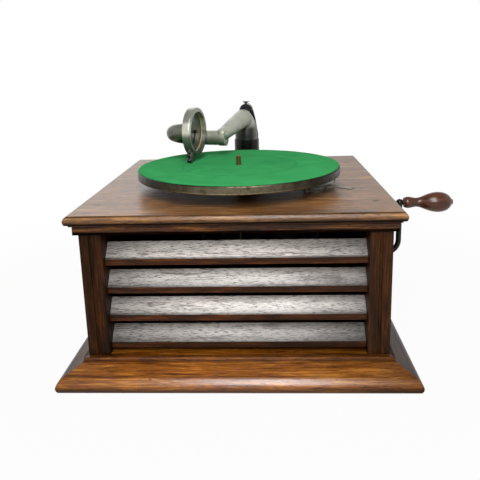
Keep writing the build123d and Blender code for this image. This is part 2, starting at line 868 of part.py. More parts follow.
hub_low = platter_top - hub_depth
inter_wheel_low = lower_top + inter_wheel_lift
governor_wheel_low = bed_bottom - governor_wheel_drop
spindle_pinion_low = inter_wheel_low - (spindle_pinion_height - inter_wheel_height) / 2
spindle_to_inter = bearing_of(spindle_at, inter_at)
spindle_to_governor = bearing_of(spindle_at, governor_at)
with BuildPart() as turntable_spindle:
    with BuildSketch(Plane.XZ.offset(-spindle_y)):
        with BuildLine():
            tip_top = felt_top + spindle_tip_height
            Polyline((0, lower_bottom + foot_plate_gap),
                     (inter_pivot_radius, lower_bottom + foot_plate_gap),
                     (inter_pivot_radius, lower_top + running_gap),
                     (spindle_radius, lower_top + running_gap),
                     (spindle_radius, hub_low - spindle_collar_height),
                     (spindle_collar_radius, hub_low - spindle_collar_height),
                     (spindle_collar_radius, hub_low), (spindle_radius, hub_low),
                     (spindle_radius, felt_top),
                     (spindle_tip_radius, felt_top), (spindle_tip_radius, tip_top - spindle_tip_chamfer),
                     (spindle_tip_radius - spindle_tip_chamfer, tip_top), (0, tip_top), close=True)
        make_face()
    revolve(axis=Axis((0, spindle_y, 0), (0, 0, 1)))
    spur_gear(spindle_at, spindle_pinion_low, spindle_pinion_height, spindle_pinion_teeth,
              inter_wheel_module, spindle_to_inter + 180 / spindle_pinion_teeth)
    spur_gear(spindle_at, governor_wheel_low, governor_wheel_height, governor_wheel_teeth,
              governor_module, spindle_to_governor)
keep("turntable_spindle", turntable_spindle.part)

# Spring barrel: a drum with a toothed flange, its lid and the spring coiled inside
barrel_low = lower_top + barrel_lift
barrel_top = barrel_low + barrel_height
spring_room = barrel_radius - barrel_wall
with BuildPart() as barrel_drum:
    shaft(flat_at(barrel_x, spindle_y, barrel_low), barrel_radius, barrel_height)
    spur_gear(barrel_at, barrel_low, barrel_gear_height, barrel_gear_teeth, barrel_gear_module,
              bearing_of(barrel_at, inter_at))
    bore(flat_at(barrel_x, spindle_y, barrel_low + barrel_floor), spring_room, barrel_height)
    bore(flat_at(barrel_x, spindle_y, barrel_low), arbor_radius + bearing_play, barrel_height)
keep("barrel_drum", barrel_drum.part)

with BuildPart() as barrel_lid:
    shaft(flat_at(barrel_x, spindle_y, barrel_top), barrel_radius, barrel_lid_thickness)
    bore(flat_at(barrel_x, spindle_y, barrel_top), arbor_radius + bearing_play, barrel_lid_thickness)
keep("barrel_lid", barrel_lid.part)

with BuildPart() as mainspring:
    spring_inner = arbor_hub_radius + running_gap + mainspring_thickness / 2
    spring_outer = spring_room - mainspring_thickness / 2
    spring_points = []
    for step in range(mainspring_turns * mainspring_steps + 1):
        share = step / (mainspring_turns * mainspring_steps)
        spring_points.append((spring_inner + share * (spring_outer - spring_inner),
                              360 * step / mainspring_steps))
    outside = [polar(radius + mainspring_thickness / 2, angle) for radius, angle in spring_points]
    inside = [polar(radius - mainspring_thickness / 2, angle) for radius, angle in spring_points]
    spring_low = barrel_low + barrel_floor + mainspring_side_gap
    with BuildSketch(flat_at(barrel_x, spindle_y, spring_low)):
        Polygon(*[(point.X, point.Y) for point in outside + inside[::-1]], align=None)
    extrude(amount=barrel_height - barrel_floor - 2 * mainspring_side_gap)
keep("mainspring", mainspring.part)

# Winding arbor with the ratchet wheel, and the bevel wheel under the lower plate
with BuildPart() as barrel_arbor:
    arbor_low = wheel_level
    shaft(flat_at(barrel_x, spindle_y, arbor_low), arbor_radius, bed_top - arbor_low)
    shaft(flat_at(barrel_x, spindle_y, spring_low), arbor_hub_radius,
          barrel_height - barrel_floor - 2 * mainspring_side_gap)
    ratchet = []
    for tooth in range(ratchet_teeth):
        step = 360 / ratchet_teeth
        for radius in (ratchet_radius, ratchet_root_radius):
            point = polar(radius, 90 + tooth * step)
            ratchet.append((point.X, point.Y))
    with BuildSketch(flat_at(barrel_x, spindle_y, ratchet_low)):
        Polygon(*ratchet, align=None)
    extrude(amount=ratchet_thickness)
keep("barrel_arbor", barrel_arbor.part)

with BuildPart() as winding_bevel_wheel:
    bevel_gear(Plane(origin=(barrel_x, spindle_y, wheel_level), x_dir=(1, 0, 0), z_dir=(0, 0, -1)),
               bevel_wheel_teeth, bevel_pinion_teeth, 0)
    shaft(flat_at(barrel_x, spindle_y, wheel_level), bevel_hub_radius,
          lower_bottom - running_gap - wheel_level)
    bore(flat_at(barrel_x, spindle_y, wheel_level), arbor_radius, lower_bottom - wheel_level)
keep("winding_bevel_wheel", winding_bevel_wheel.part)

# The pawl stands lifted just clear of the teeth, as it does while the spring is wound
with BuildPart() as ratchet_pawl:
    nose_x = -pawl_nose_gap - pawl_pivot_x
    nose_y = ratchet_root_radius + pawl_root_gap - pawl_pivot_y
    pawl_turn = polar(1, pawl_lift_angle)
    with BuildSketch(Plane(origin=pawl_at + up * ratchet_low, x_dir=pawl_turn, z_dir=up)):
        with BuildLine():
            Polyline((nose_x, nose_y), (nose_x, nose_y + pawl_width),
                     (pawl_eye_radius / 2, pawl_eye_radius / 2),
                     (-pawl_eye_radius / 2, -pawl_eye_radius / 2), close=True)
        make_face()
        Circle(pawl_eye_radius)
        Circle(pawl_post_radius + bearing_play, mode=Mode.SUBTRACT)
    extrude(amount=ratchet_thickness)
keep("ratchet_pawl", ratchet_pawl.part)

# Intermediate arbor
with BuildPart() as intermediate_arbor:
    shaft(flat_at(inter_at.X, inter_at.Y, lower_bottom), inter_pivot_radius, bed_top - lower_bottom)
    shaft(flat_at(inter_at.X, inter_at.Y, lower_top + running_gap), inter_arbor_radius,
          motor_height - 2 * running_gap)
    spur_gear(inter_at, barrel_low - (inter_pinion_height - barrel_gear_height) / 2, inter_pinion_height,
              inter_pinion_teeth, barrel_gear_module,
              bearing_of(inter_at, barrel_at) + 180 / inter_pinion_teeth)
keep("intermediate_arbor", intermediate_arbor.part)

with BuildPart() as intermediate_wheel:
    spur_gear(inter_at, inter_wheel_low, inter_wheel_height, inter_wheel_teeth, inter_wheel_module,
              bearing_of(inter_at, spindle_at))
    bore(flat_at(inter_at.X, inter_at.Y, inter_wheel_low), inter_arbor_radius, inter_wheel_height)
keep("intermediate_wheel", intermediate_wheel.part)

# Governor: weights on flat springs between a fixed collar and a sliding disc
collar_low = bed_bottom - governor_collar_drop - governor_collar_height
sleeve_top = disc_top + governor_sleeve_height
weight_level = (collar_low + sleeve_top) / 2
pinion_low = governor_wheel_low - (governor_pinion_height - governor_wheel_height) / 2
with BuildPart() as governor_shaft:
    shaft(flat_at(governor_at.X, governor_at.Y, lower_bottom), governor_radius, bed_top - lower_bottom)
    shaft(flat_at(governor_at.X, governor_at.Y, collar_low), governor_collar_radius, governor_collar_height)
    spur_gear(governor_at, pinion_low, governor_pinion_height, governor_pinion_teeth, governor_module,
              bearing_of(governor_at, spindle_at) + 180 / governor_pinion_teeth)
keep("governor_shaft", governor_shaft.part)

with BuildPart() as governor_disc:
    shaft(flat_at(governor_at.X, governor_at.Y, disc_low), governor_disc_radius, governor_disc_thickness)
    shaft(flat_at(governor_at.X, governor_at.Y, disc_top), governor_collar_radius, governor_sleeve_height)
    bore(flat_at(governor_at.X, governor_at.Y, disc_low), governor_radius + bearing_play,
         governor_disc_thickness + governor_sleeve_height)
keep("governor_disc", governor_disc.part)

springs = []
weights = []
half_weight = governor_weight_radius
for arm in range(governor_arms):
    radial = polar(1, 360 * arm / governor_arms)
    spring_plane = Plane(origin=governor_at, x_dir=radial, z_dir=radial.cross(up))
    foot_reach = governor_collar_radius
    with BuildPart() as spring:
        with BuildSketch(spring_plane):
            with BuildLine():
                inner_line = [(foot_reach, disc_top + running_gap), (foot_reach, sleeve_top),
                              (governor_weight_orbit, weight_level - half_weight),
                              (governor_weight_orbit, weight_level + half_weight),
                              (foot_reach, collar_low), (foot_reach, collar_low + governor_collar_height)]
                outer_line = [(x + governor_spring_thickness, z) for x, z in inner_line]
                Polyline(*(inner_line + outer_line[::-1]), close=True)
            make_face()
        extrude(amount=governor_spring_width / 2, both=True)
    springs.append(spring.part)
    with BuildPart() as weight:
        start = governor_at + radial * (governor_weight_orbit + governor_spring_thickness)
        shaft(Plane(origin=start + up * weight_level, z_dir=radial), governor_weight_radius,
              governor_weight_length)
    weights.append(weight.part)
keep("governor_springs", compound_of(springs))
keep("governor_weights", compound_of(weights))

# Winding shaft with the bevel pinion at one end and the crank's socket at the other
crank_plane = Plane(origin=(0, spindle_y, crank_axis_height), x_dir=(0, 1, 0), z_dir=(1, 0, 0))
with BuildPart() as winding_shaft:
    pinion_plane = Plane(origin=(pinion_back_x, spindle_y, crank_axis_height),
                         x_dir=(0, 0, 1), z_dir=(1, 0, 0))
    bevel_gear(pinion_plane, bevel_pinion_teeth, bevel_wheel_teeth, 180 / bevel_pinion_teeth)
    shaft(crank_plane.offset(pinion_back_x - pinion_hub_length), pinion_hub_radius, pinion_hub_length)
    shaft(crank_plane.offset(inner_bearing_x), winding_shaft_radius, winding_socket_end - inner_bearing_x)
    bore(crank_plane.offset(winding_socket_start), crank_bar_radius + bearing_play,
         winding_socket_end - winding_socket_start)
keep("winding_shaft", winding_shaft.part)

# Crank: a round bar bent upwards, an eye at its end and a turned knob on a pin
crank_top = crank_axis_height + crank_throw
with BuildPart() as crank_arm:
    with BuildLine() as crank_path:
        bend_start = (crank_arm_x - crank_bend, spindle_y, crank_axis_height)
        bend_end = (crank_arm_x, spindle_y, crank_axis_height + crank_bend)
        Line((winding_socket_start + running_gap, spindle_y, crank_axis_height), bend_start)
        TangentArc(bend_start, bend_end, tangent=(1, 0, 0))
        Line(bend_end, (crank_arm_x, spindle_y, crank_top))
    with BuildSketch(crank_plane.offset(winding_socket_start + running_gap)):
        Circle(crank_bar_radius)
    sweep(path=crank_path.line)
    with Locations((crank_arm_x, spindle_y, crank_top)):
        Sphere(crank_ball_radius)
    knob_plane = Plane(origin=(crank_arm_x, spindle_y, crank_top), x_dir=(0, 1, 0), z_dir=(1, 0, 0))
    bore(knob_plane.offset(-crank_ball_radius), crank_pin_radius, 2 * crank_ball_radius)
keep("crank_arm", crank_arm.part)

knob_start = crank_arm_x + knob_start_gap
knob_end = knob_start + knob_length
with BuildPart() as crank_pin:
    shaft(knob_plane.offset(-crank_ball_radius), crank_pin_radius,
          crank_ball_radius + knob_start_gap + knob_length + running_gap)
    shaft(knob_plane.offset(knob_start_gap + knob_length + running_gap), crank_pin_head_radius,
          crank_pin_head_length)
keep("crank_pin", crank_pin.part)

with BuildPart() as crank_knob:
    with BuildSketch(Plane.XZ.offset(-spindle_y)):
        with BuildLine():
            bore_top = crank_top + crank_pin_radius + bearing_play
            turned = Spline((knob_start, crank_top + knob_neck_radius),
                            (knob_start + knob_bulb_at_share * knob_length, crank_top + knob_bulb_radius),
                            (knob_start + knob_neck_at_share * knob_length, crank_top + knob_neck_radius),
                            (knob_start + knob_waist_at_share * knob_length, crank_top + knob_waist_radius),
                            (knob_start + knob_belly_at_share * knob_length, crank_top + knob_belly_radius),
                            (knob_start + knob_shoulder_at_share * knob_length,
                             crank_top + knob_shoulder_radius),
                            (knob_end, crank_top + knob_end_radius))
            Polyline(turned @ 1, (knob_end, bore_top), (knob_start, bore_top), turned @ 0)
        make_face()
    revolve(axis=Axis((0, spindle_y, crank_top), (1, 0, 0)))
keep("crank_knob", crank_knob.part)

with BuildPart() as crank_escutcheon:
    panel_outside = half_width - panel_recess
    shaft(crank_plane.offset(panel_outside), escutcheon_radius, escutcheon_thickness)
    shaft(crank_plane.offset(panel_outside - panel_thickness), escutcheon_spigot, panel_thickness)
    bore(crank_plane.offset(panel_outside - panel_thickness), crank_bar_radius + running_gap,
         panel_thickness + escutcheon_thickness)
    fillet(crank_escutcheon.faces().sort_by(Axis.X)[-1].edges(), escutcheon_thickness / 4)
keep("crank_escutcheon", crank_escutcheon.part)

# Tone arm heights: the needle chuck rests just clear of the felt
needle_lean = math.radians(needle_angle)
box_height = (felt_top + chuck_rest_gap + chuck_end * math.cos(needle_lean)
              + chuck_radius * math.sin(needle_lean))
neck_out = polar(1, -neck_azimuth)
neck_forward = polar(1, -neck_azimuth - 90)
neck_across = (neck_forward * math.cos(math.radians(neck_tilt)) + up * math.sin(math.radians(neck_tilt)))
socket_height = box_height - neck_separation * math.sin(math.radians(neck_tilt))
socket_end = Vector(pivot_x + arm_front_dx, pivot_y + arm_front_dy, socket_height)
bend_middle = socket_end - neck_out * neck_rear_length
box_centre = bend_middle + neck_across * neck_separation + neck_out * neck_front_length
arm_front = socket_end - neck_out * arm_front_inset + up * arm_front_rise
arm_pivot = Vector(pivot_x, pivot_y, arm_front.Z + arm_rise / (1 - arm_rear_share))
arm_rear = arm_pivot + (arm_front - arm_pivot) * arm_rear_share
dome_top = arm_rear.Z + dome_above_rear
shoulder = board_top + bracket_shoulder_height
sleeve_bottom = shoulder + running_gap
sleeve_end = sleeve_bottom + sleeve_straight
dome_waist = dome_top - dome_waist_drop
lug_low = dome_top + running_gap
lug_top = lug_low + lug_thickness
bracket_top = board_top + bracket_sleeve_height
upright = Axis((pivot_x, pivot_y, 0), (0, 0, 1))


def dome_outline(wall):
    """Half section of the arm's swivelling end, or of the air inside it."""
    Polyline((pivot_x + sleeve_radius - wall, sleeve_end), (pivot_x + sleeve_radius - wall, sleeve_bottom),
             (pivot_x, sleeve_bottom), (pivot_x, dome_top - wall),
             (pivot_x + dome_top_radius, dome_top - wall))
    waist = (pivot_x + dome_waist_radius - wall / 2, dome_waist - wall)
    TangentArc((pivot_x + sleeve_radius - wall, sleeve_end), waist, tangent=(0, 1))
    Line(waist, (pivot_x + dome_top_radius, dome_top - wall))


# Tone arm: a domed swivel, a tapering cast tube and a cross socket at the front
arm_line = arm_rear - arm_front
with BuildPart() as tone_arm:
    with BuildSketch(Plane.XZ.offset(-pivot_y)):
        with BuildLine():
            dome_outline(0)
        make_face()
    revolve(axis=upright)
    with BuildSketch(Plane(origin=arm_front, z_dir=arm_line)):
        Circle(arm_front_radius)
    with BuildSketch(Plane(origin=arm_rear, z_dir=arm_line)):
        Circle(arm_rear_radius)
    loft()
    with Locations(arm_front):
        Sphere(arm_front_radius)
    with Locations(arm_rear):
        Sphere(arm_rear_radius)
    socket_plane = Plane(origin=socket_end, x_dir=up, z_dir=neck_out)
    with BuildSketch(socket_plane.offset(-socket_length)):
        Circle(socket_radius)
    extrude(amount=socket_length)
    bore(flat_at(pivot_x, pivot_y, dome_top), lug_radius + running_gap, arm_rear_radius)
    bore(socket_plane.offset(-socket_length - 2 * neck_radius), neck_radius + running_gap, 2 * neck_radius)
    with BuildSketch(Plane.XZ.offset(-pivot_y)):
        with BuildLine():
            dome_outline(arm_wall)
        make_face()
    revolve(axis=upright, mode=Mode.SUBTRACT)
    with BuildSketch(Plane(origin=arm_front, z_dir=arm_line)):
        Circle(arm_front_radius - arm_wall)
    with BuildSketch(Plane(origin=arm_rear, z_dir=arm_line)):
        Circle(arm_rear_radius - arm_wall)
    loft(mode=Mode.SUBTRACT)
    with Locations(arm_rear):
        Sphere(arm_rear_radius - arm_wall, mode=Mode.SUBTRACT)
    bore(socket_plane.offset(-socket_length), spigot_radius + bearing_play, socket_length - arm_wall)
    bore(flat_at(pivot_x, pivot_y, dome_top - arm_wall), pivot_screw_radius + bearing_play, arm_wall)
keep("tone_arm", tone_arm.part)

# Neck: one tube bent through half a turn, with a spigot that turns in the arm's socket
with BuildPart() as neck_tube:
    for radius, mode in ((neck_radius, Mode.ADD), (neck_radius - neck_wall, Mode.SUBTRACT)):
        rear_start = socket_end - neck_out * (socket_length + running_gap)
        front_end = box_centre - neck_out * (box_depth / 2 + box_boss_length)
        with BuildLine() as neck_path:
            Line(rear_start, bend_middle)
            ThreePointArc(bend_middle,
                          bend_middle + neck_across * neck_separation / 2 - neck_out * neck_separation / 2,
                          bend_middle + neck_across * neck_separation)
            Line(bend_middle + neck_across * neck_separation, front_end)
        with BuildSketch(Plane(origin=rear_start, x_dir=up, z_dir=neck_out * -1)):
            Circle(radius)
        sweep(path=neck_path.line, mode=mode)
    spigot_plane = Plane(origin=rear_start, x_dir=up, z_dir=neck_out)
    with BuildSketch(spigot_plane):
        Circle(spigot_radius)
        Circle(spigot_radius - neck_wall, mode=Mode.SUBTRACT)
    extrude(amount=spigot_length)
    with BuildSketch(spigot_plane):
        Circle(neck_radius)
        Circle(spigot_radius - neck_wall, mode=Mode.SUBTRACT)
    extrude(amount=-neck_wall)
keep("neck_tube", neck_tube.part)

# Sound box: x runs backwards, y up and z out of its face
box_plane = Plane(origin=box_centre, x_dir=neck_forward * -1, z_dir=neck_out)
box_rear = -box_depth / 2
ring_low = box_depth / 2 - ring_depth
needle_turn = -90 - needle_angle
slot_half = stylus_bar_width / 2 + stylus_slot_play
bar_low = ring_low + stylus_slot_play
bar_high = bar_low + stylus_bar_thickness


def box_ring(low, high, outer, inner):
    """Adds a flat ring of the sound box between two depths."""
    with BuildSketch(box_plane.offset(low)) as section:
        Circle(outer)
        if inner:
            Circle(inner, mode=Mode.SUBTRACT)
    extrude(section.sketch, amount=high - low)


with BuildPart() as sound_box_housing:
    box_ring(box_rear, ring_low, box_radius, 0)
    box_ring(box_rear - box_boss_length, box_rear, box_boss_radius, 0)
    bore(box_plane.offset(box_rear + box_back), box_radius - box_wall, box_depth)
    bore(box_plane.offset(box_rear - box_boss_length), neck_radius - neck_wall, box_depth)
keep("sound_box_housing", sound_box_housing.part)

with BuildPart() as sound_box_ring:
    box_ring(ring_low, box_depth / 2, box_radius, ring_opening_radius)
    front_rim = sound_box_ring.edges().filter_by(GeomType.CIRCLE).filter_by(
        lambda edge: abs(edge.radius - box_radius) < box_wall / 10).sort_by(
        lambda edge: edge.arc_center.dot(neck_out))[-1]
    fillet(front_rim, ring_round)
    slot_plane = Plane(origin=box_plane.from_local_coords(Vector(0, 0, bar_low - stylus_slot_play)),
                       x_dir=box_plane.from_local_coords(polar(1, needle_turn)) - box_centre,
                       z_dir=neck_out)
    with BuildSketch(slot_plane):
        with Locations(((box_radius + ring_opening_radius) / 2, 0)):
            Rectangle(2 * (box_radius - ring_opening_radius), 2 * slot_half)
    extrude(amount=stylus_bar_thickness + 2 * stylus_slot_play, mode=Mode.SUBTRACT)
    with BuildSketch(slot_plane):
        for side in (-1, 1):
            with Locations((box_radius + (ring_ear_reach - box_wall) / 2,
                            side * (chuck_radius + running_gap + ring_ear_width / 2))):
                Rectangle(ring_ear_reach + box_wall, ring_ear_width)
    extrude(amount=ring_ear_height)
keep("sound_box_ring", sound_box_ring.part)

mica_low = -diaphragm_set - diaphragm_thickness / 2
mica_high = -diaphragm_set + diaphragm_thickness / 2
gasket_outer = box_radius - box_wall
with BuildPart() as diaphragm_gaskets:
    box_ring(box_rear + box_back, mica_low, gasket_outer, gasket_outer - gasket_width)
    box_ring(mica_high, ring_low, gasket_outer, gasket_outer - gasket_width)
keep("diaphragm_gaskets", diaphragm_gaskets.part)

with BuildPart() as diaphragm:
    box_ring(mica_low, mica_high, gasket_outer, 0)
keep("diaphragm", diaphragm.part)

# Stylus bar: a foot on the diaphragm, a bar out through the ring and the needle chuck
with BuildPart() as stylus_bar:
    with BuildSketch(slot_plane.offset(stylus_slot_play)):
        with Locations(((box_radius + chuck_start_gap) / 2, 0)):
            Rectangle(box_radius + chuck_start_gap + chuck_radius, stylus_bar_width)
    extrude(amount=stylus_bar_thickness)
    with BuildSketch(box_plane.offset(mica_high)):
        Circle(stylus_bar_width)
    extrude(amount=bar_high - mica_high + stylus_bar_thickness / 2)
    chuck_plane = Plane(origin=slot_plane.from_local_coords(
        Vector(box_radius + chuck_start_gap, 0, stylus_slot_play + stylus_bar_thickness / 2)),
        x_dir=neck_out, z_dir=slot_plane.x_dir)
    chuck_length = chuck_end - box_radius - chuck_start_gap
    with BuildSketch(chuck_plane):
        Circle(chuck_radius)
    extrude(amount=chuck_length)
    bore(chuck_plane.offset(chuck_length - needle_hole_depth), needle_hole_radius, needle_hole_depth)
    screw_at = chuck_plane.from_local_coords(Vector(0, 0, chuck_length - needle_screw_back))
    screw_plane = Plane(origin=screw_at, z_dir=chuck_plane.y_dir)
    bore(screw_plane, needle_screw_radius + bearing_play, chuck_radius)
keep("stylus_bar", stylus_bar.part)

with BuildPart() as needle_screw:
    shaft(screw_plane.offset(needle_hole_radius + running_gap), needle_screw_radius,
          chuck_radius + needle_screw_stem - needle_hole_radius)
    shaft(screw_plane.offset(chuck_radius + running_gap + needle_screw_stem), needle_screw_head_radius,
          needle_screw_head_length)
keep("needle_screw", needle_screw.part)

# Bracket: a flanged sleeve whose back rises as an arched shell with a lug over the arm
with BuildPart() as arm_bracket:
    shaft(flat_at(pivot_x, pivot_y, board_top), bracket_flange_radius, bracket_flange_thickness)
    shaft(flat_at(pivot_x, pivot_y, board_top), bracket_radius, lug_top - board_top)
    bore(flat_at(pivot_x, pivot_y, board_top), bracket_lower_bore, lug_low - board_top)
    bore(flat_at(pivot_x, pivot_y, shoulder), bracket_bore, lug_low - shoulder)
    with BuildSketch(flat_at(pivot_x, pivot_y, bracket_top)):
        with Locations((0, -bracket_radius + arch_back_depth)):
            Rectangle(3 * bracket_radius, 2 * bracket_radius)
    extrude(amount=lug_low - bracket_top, mode=Mode.SUBTRACT)
    with BuildSketch(flat_at(pivot_x, pivot_y, lug_low)):
        Circle(2 * bracket_radius)
        with Locations((0, bracket_radius)):
            Rectangle(2 * lug_radius, 2 * bracket_radius, mode=Mode.SUBTRACT)
        Circle(lug_radius, mode=Mode.SUBTRACT)
    extrude(amount=lug_thickness, mode=Mode.SUBTRACT)
    for side in (-1, 1):
        with BuildSketch(Plane.XZ.offset(-pivot_y + 2 * bracket_radius)):
            with BuildLine():
                crown = (pivot_x, lug_top)
                neck = (pivot_x + side * arch_neck_half, lug_top - arch_neck_drop)
                hip = (pivot_x + side * arch_shoulder_half, lug_top - arch_shoulder_drop)
                base = (pivot_x + side * bracket_radius, bracket_top)
                wide = pivot_x + side * 2 * bracket_radius
                TangentArc(crown, neck, tangent=(side, 0))
                Polyline(neck, hip, base, (wide, bracket_top), (wide, lug_top + overrun),
                         (pivot_x, lug_top + overrun), crown)
            make_face()
        extrude(amount=-4 * bracket_radius, mode=Mode.SUBTRACT)
    bore(flat_at(pivot_x, pivot_y, lug_low), pivot_screw_radius, lug_thickness)
    for x, y in bracket_screw_places:
        bore(flat_at(x, y, board_top), bracket_screw_radius, bracket_flange_thickness)
keep("arm_bracket", arm_bracket.part)

with BuildPart() as bracket_screws:
    flange_top = board_top + bracket_flange_thickness
    for x, y in bracket_screw_places:
        shaft(flat_at(x, y, flange_top - bracket_screw_length), bracket_screw_radius, bracket_screw_length)
        shaft(flat_at(x, y, flange_top), bracket_screw_head_radius, bracket_screw_head_radius / 2)
        with BuildSketch(flat_at(x, y, flange_top + bracket_screw_head_radius / 2)):
            Rectangle(2 * bracket_screw_head_radius, screw_slot_width)
        extrude(amount=-screw_slot_depth, mode=Mode.SUBTRACT)
keep("bracket_screws", bracket_screws.part)

with BuildPart() as arm_pivot_screw:
    shaft(flat_at(pivot_x, pivot_y, dome_top - pivot_tip_length), pivot_screw_radius,
          lug_top - dome_top + pivot_tip_length)
    with BuildSketch(Plane.XZ.offset(-pivot_y)):
        with BuildLine():
            head_low = lug_top + pivot_screw_head_height / 3
            head_top = lug_top + pivot_screw_head_height
            Polyline((pivot_x, lug_top), (pivot_x + pivot_screw_neck_radius, lug_top),
                     (pivot_x + pivot_screw_neck_radius, head_low),
                     (pivot_x + pivot_screw_head_radius, head_top - pivot_screw_head_height / 4),
                     (pivot_x + pivot_screw_head_radius, head_top), (pivot_x, head_top), close=True)
        make_face()
    revolve(axis=upright)
keep("arm_pivot_screw", arm_pivot_screw.part)

# Brake: a bent strip with a finger end outside the rim and a leather pad inside it
brake_low = board_top + brake_lift
finger = polar(1, brake_azimuth)
brake_high = brake_low + brake_jog_rise
pad_middle = pad_out * (pad_face_radius - brake_pad_thickness / 2) + spindle_at
pad_low = rim_bottom + running_gap
with BuildPart() as brake_lever:
    with BuildSketch(flat_at(brake_at.X, brake_at.Y, brake_low)):
        Circle(brake_width / 2 + brake_sheet)
    extrude(amount=brake_sheet)
    for way, reach in ((finger, brake_jog_start), (pad_way, brake_pad_reach)):
        with BuildSketch(Plane(origin=brake_at + up * brake_low, x_dir=way, z_dir=up)):
            with Locations((reach / 2, 0)):
                Rectangle(reach, brake_width)
        extrude(amount=brake_sheet)
    with BuildSketch(Plane(origin=brake_at, x_dir=finger, z_dir=finger.cross(up))):
        with BuildLine():
            jog_end = brake_jog_start + brake_jog_run
            slope_length = math.hypot(brake_jog_rise, brake_jog_run)
            fold = brake_sheet * (slope_length - brake_jog_run) / brake_jog_rise
            Polyline((brake_jog_start - brake_sheet, brake_low), (brake_jog_start, brake_low),
                     (jog_end, brake_high), (brake_tip, brake_high), (brake_tip, brake_high + brake_sheet),
                     (jog_end - fold, brake_high + brake_sheet),
                     (brake_jog_start - fold, brake_low + brake_sheet),
                     (brake_jog_start - brake_sheet, brake_low + brake_sheet), close=True)
        make_face()
    extrude(amount=brake_width / 2, both=True)
    tab_at = pad_out * (tab_radius - brake_sheet / 2) + spindle_at
    with BuildSketch(Plane(origin=tab_at + up * brake_low, x_dir=pad_out, z_dir=up)):
        Rectangle(brake_sheet, brake_pad_width)
    extrude(amount=pad_low + brake_pad_height - brake_low)
    bore(flat_at(brake_at.X, brake_at.Y, brake_low), brake_pivot_radius + bearing_play, brake_sheet)
keep("brake_lever", brake_lever.part)

with BuildPart() as brake_pad:
    with BuildSketch(Plane(origin=pad_middle + up * pad_low, x_dir=pad_out, z_dir=up)):
        Rectangle(brake_pad_thickness, brake_pad_width)
    extrude(amount=brake_pad_height)
keep("brake_pad", brake_pad.part)

with BuildPart() as brake_pivot_screw:
    shaft(flat_at(brake_at.X, brake_at.Y, board_bottom), brake_pivot_radius,
          brake_low + brake_sheet + running_gap - board_bottom)
    shaft(flat_at(brake_at.X, brake_at.Y, board_top), brake_pivot_head_radius, brake_lift - running_gap)
    shaft(flat_at(brake_at.X, brake_at.Y, brake_low + brake_sheet + running_gap),
          brake_pivot_head_radius, brake_pivot_head_height)
keep("brake_pivot_screw", brake_pivot_screw.part)

# Speed regulator: a screw in the board presses a lever whose pad rubs the disc
lever_low = regulator_low
lever_top = lever_low + regulator_thickness
with BuildPart() as regulator_lever:
    with BuildSketch(Plane(origin=governor_at + up * lever_low, x_dir=speed_direction, z_dir=up)):
        with Locations(((speed_pad_reach + speed_reach) / 2, 0)):
            Rectangle(speed_reach - speed_pad_reach + regulator_width, regulator_width)
    extrude(amount=regulator_thickness)
    eye_plane = Plane(origin=regulator_at + up * regulator_axis_height, x_dir=speed_direction,
                      z_dir=regulator_across)
    with BuildSketch(eye_plane):
        Circle(regulator_eye_radius - running_gap)
    extrude(amount=regulator_width / 2, both=True)
    with BuildSketch(eye_plane):
        Circle(regulator_pin_radius + bearing_play)
    extrude(amount=regulator_width, both=True, mode=Mode.SUBTRACT)
keep("regulator_lever", regulator_lever.part)

with BuildPart() as regulator_pad:
    pad_at = governor_at + speed_direction * speed_pad_reach
    shaft(flat_at(pad_at.X, pad_at.Y, lever_low - regulator_pad_thickness), regulator_pad_radius,
          regulator_pad_thickness)
keep("regulator_pad", regulator_pad.part)

with BuildPart() as speed_screw:
    screw_low = lever_top + running_gap
    shaft(flat_at(speed_at.X, speed_at.Y, screw_low), speed_screw_radius,
          board_top + speed_head_gap - screw_low)
    shaft(flat_at(speed_at.X, speed_at.Y, board_top + speed_head_gap), speed_head_radius, speed_head_height)
    fillet(speed_screw.faces().sort_by(Axis.Z)[-1].edges(), speed_head_height / 7)
keep("speed_screw", speed_screw.part)

os.makedirs("parts", exist_ok=True)
for name, shape in pieces.items():
    export_step(shape, f"parts/{name}.step")
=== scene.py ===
"""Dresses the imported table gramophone: wood, plated metal, felt and mica, round the CAD frame."""

import json
import math

import bpy
from mathutils import Matrix, Vector


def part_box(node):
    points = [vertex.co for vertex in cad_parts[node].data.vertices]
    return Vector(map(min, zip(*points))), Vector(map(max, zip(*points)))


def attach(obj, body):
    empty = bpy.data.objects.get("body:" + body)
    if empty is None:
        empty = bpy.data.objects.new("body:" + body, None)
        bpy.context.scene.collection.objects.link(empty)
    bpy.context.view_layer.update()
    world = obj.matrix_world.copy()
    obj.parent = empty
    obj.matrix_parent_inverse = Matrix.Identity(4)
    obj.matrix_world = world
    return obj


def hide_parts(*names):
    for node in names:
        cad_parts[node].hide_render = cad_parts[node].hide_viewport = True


bl_info = {
    "name": "Table gramophone dresser",
    "version": (1, 0, 0),
    "blender": (4, 5, 0),
    "location": "View3D > Sidebar > Gramophone",
    "description": "Builds the felt, louvres, needle holder and finishes of a table gramophone",
    "category": "Object",
}

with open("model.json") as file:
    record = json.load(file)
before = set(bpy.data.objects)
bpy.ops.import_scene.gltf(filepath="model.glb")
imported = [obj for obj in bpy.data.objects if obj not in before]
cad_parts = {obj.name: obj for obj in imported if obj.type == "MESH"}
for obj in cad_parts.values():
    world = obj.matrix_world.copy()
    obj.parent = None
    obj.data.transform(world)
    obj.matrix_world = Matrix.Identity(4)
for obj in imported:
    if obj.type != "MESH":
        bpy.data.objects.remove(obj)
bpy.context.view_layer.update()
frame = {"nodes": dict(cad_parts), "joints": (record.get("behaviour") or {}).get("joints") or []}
NODES = frame["nodes"]
MM = 0.001


def middle_of(node):
    """Centre of a CAD node's box."""
    low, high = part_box(node)
    return (low + high) / 2


def axis_of(joint):
    """A joint's point and direction."""
    found = next(item for item in frame["joints"] if item["name"] == joint)
    return Vector(found["pos_m"]), Vector(found["axis"]).normalized()


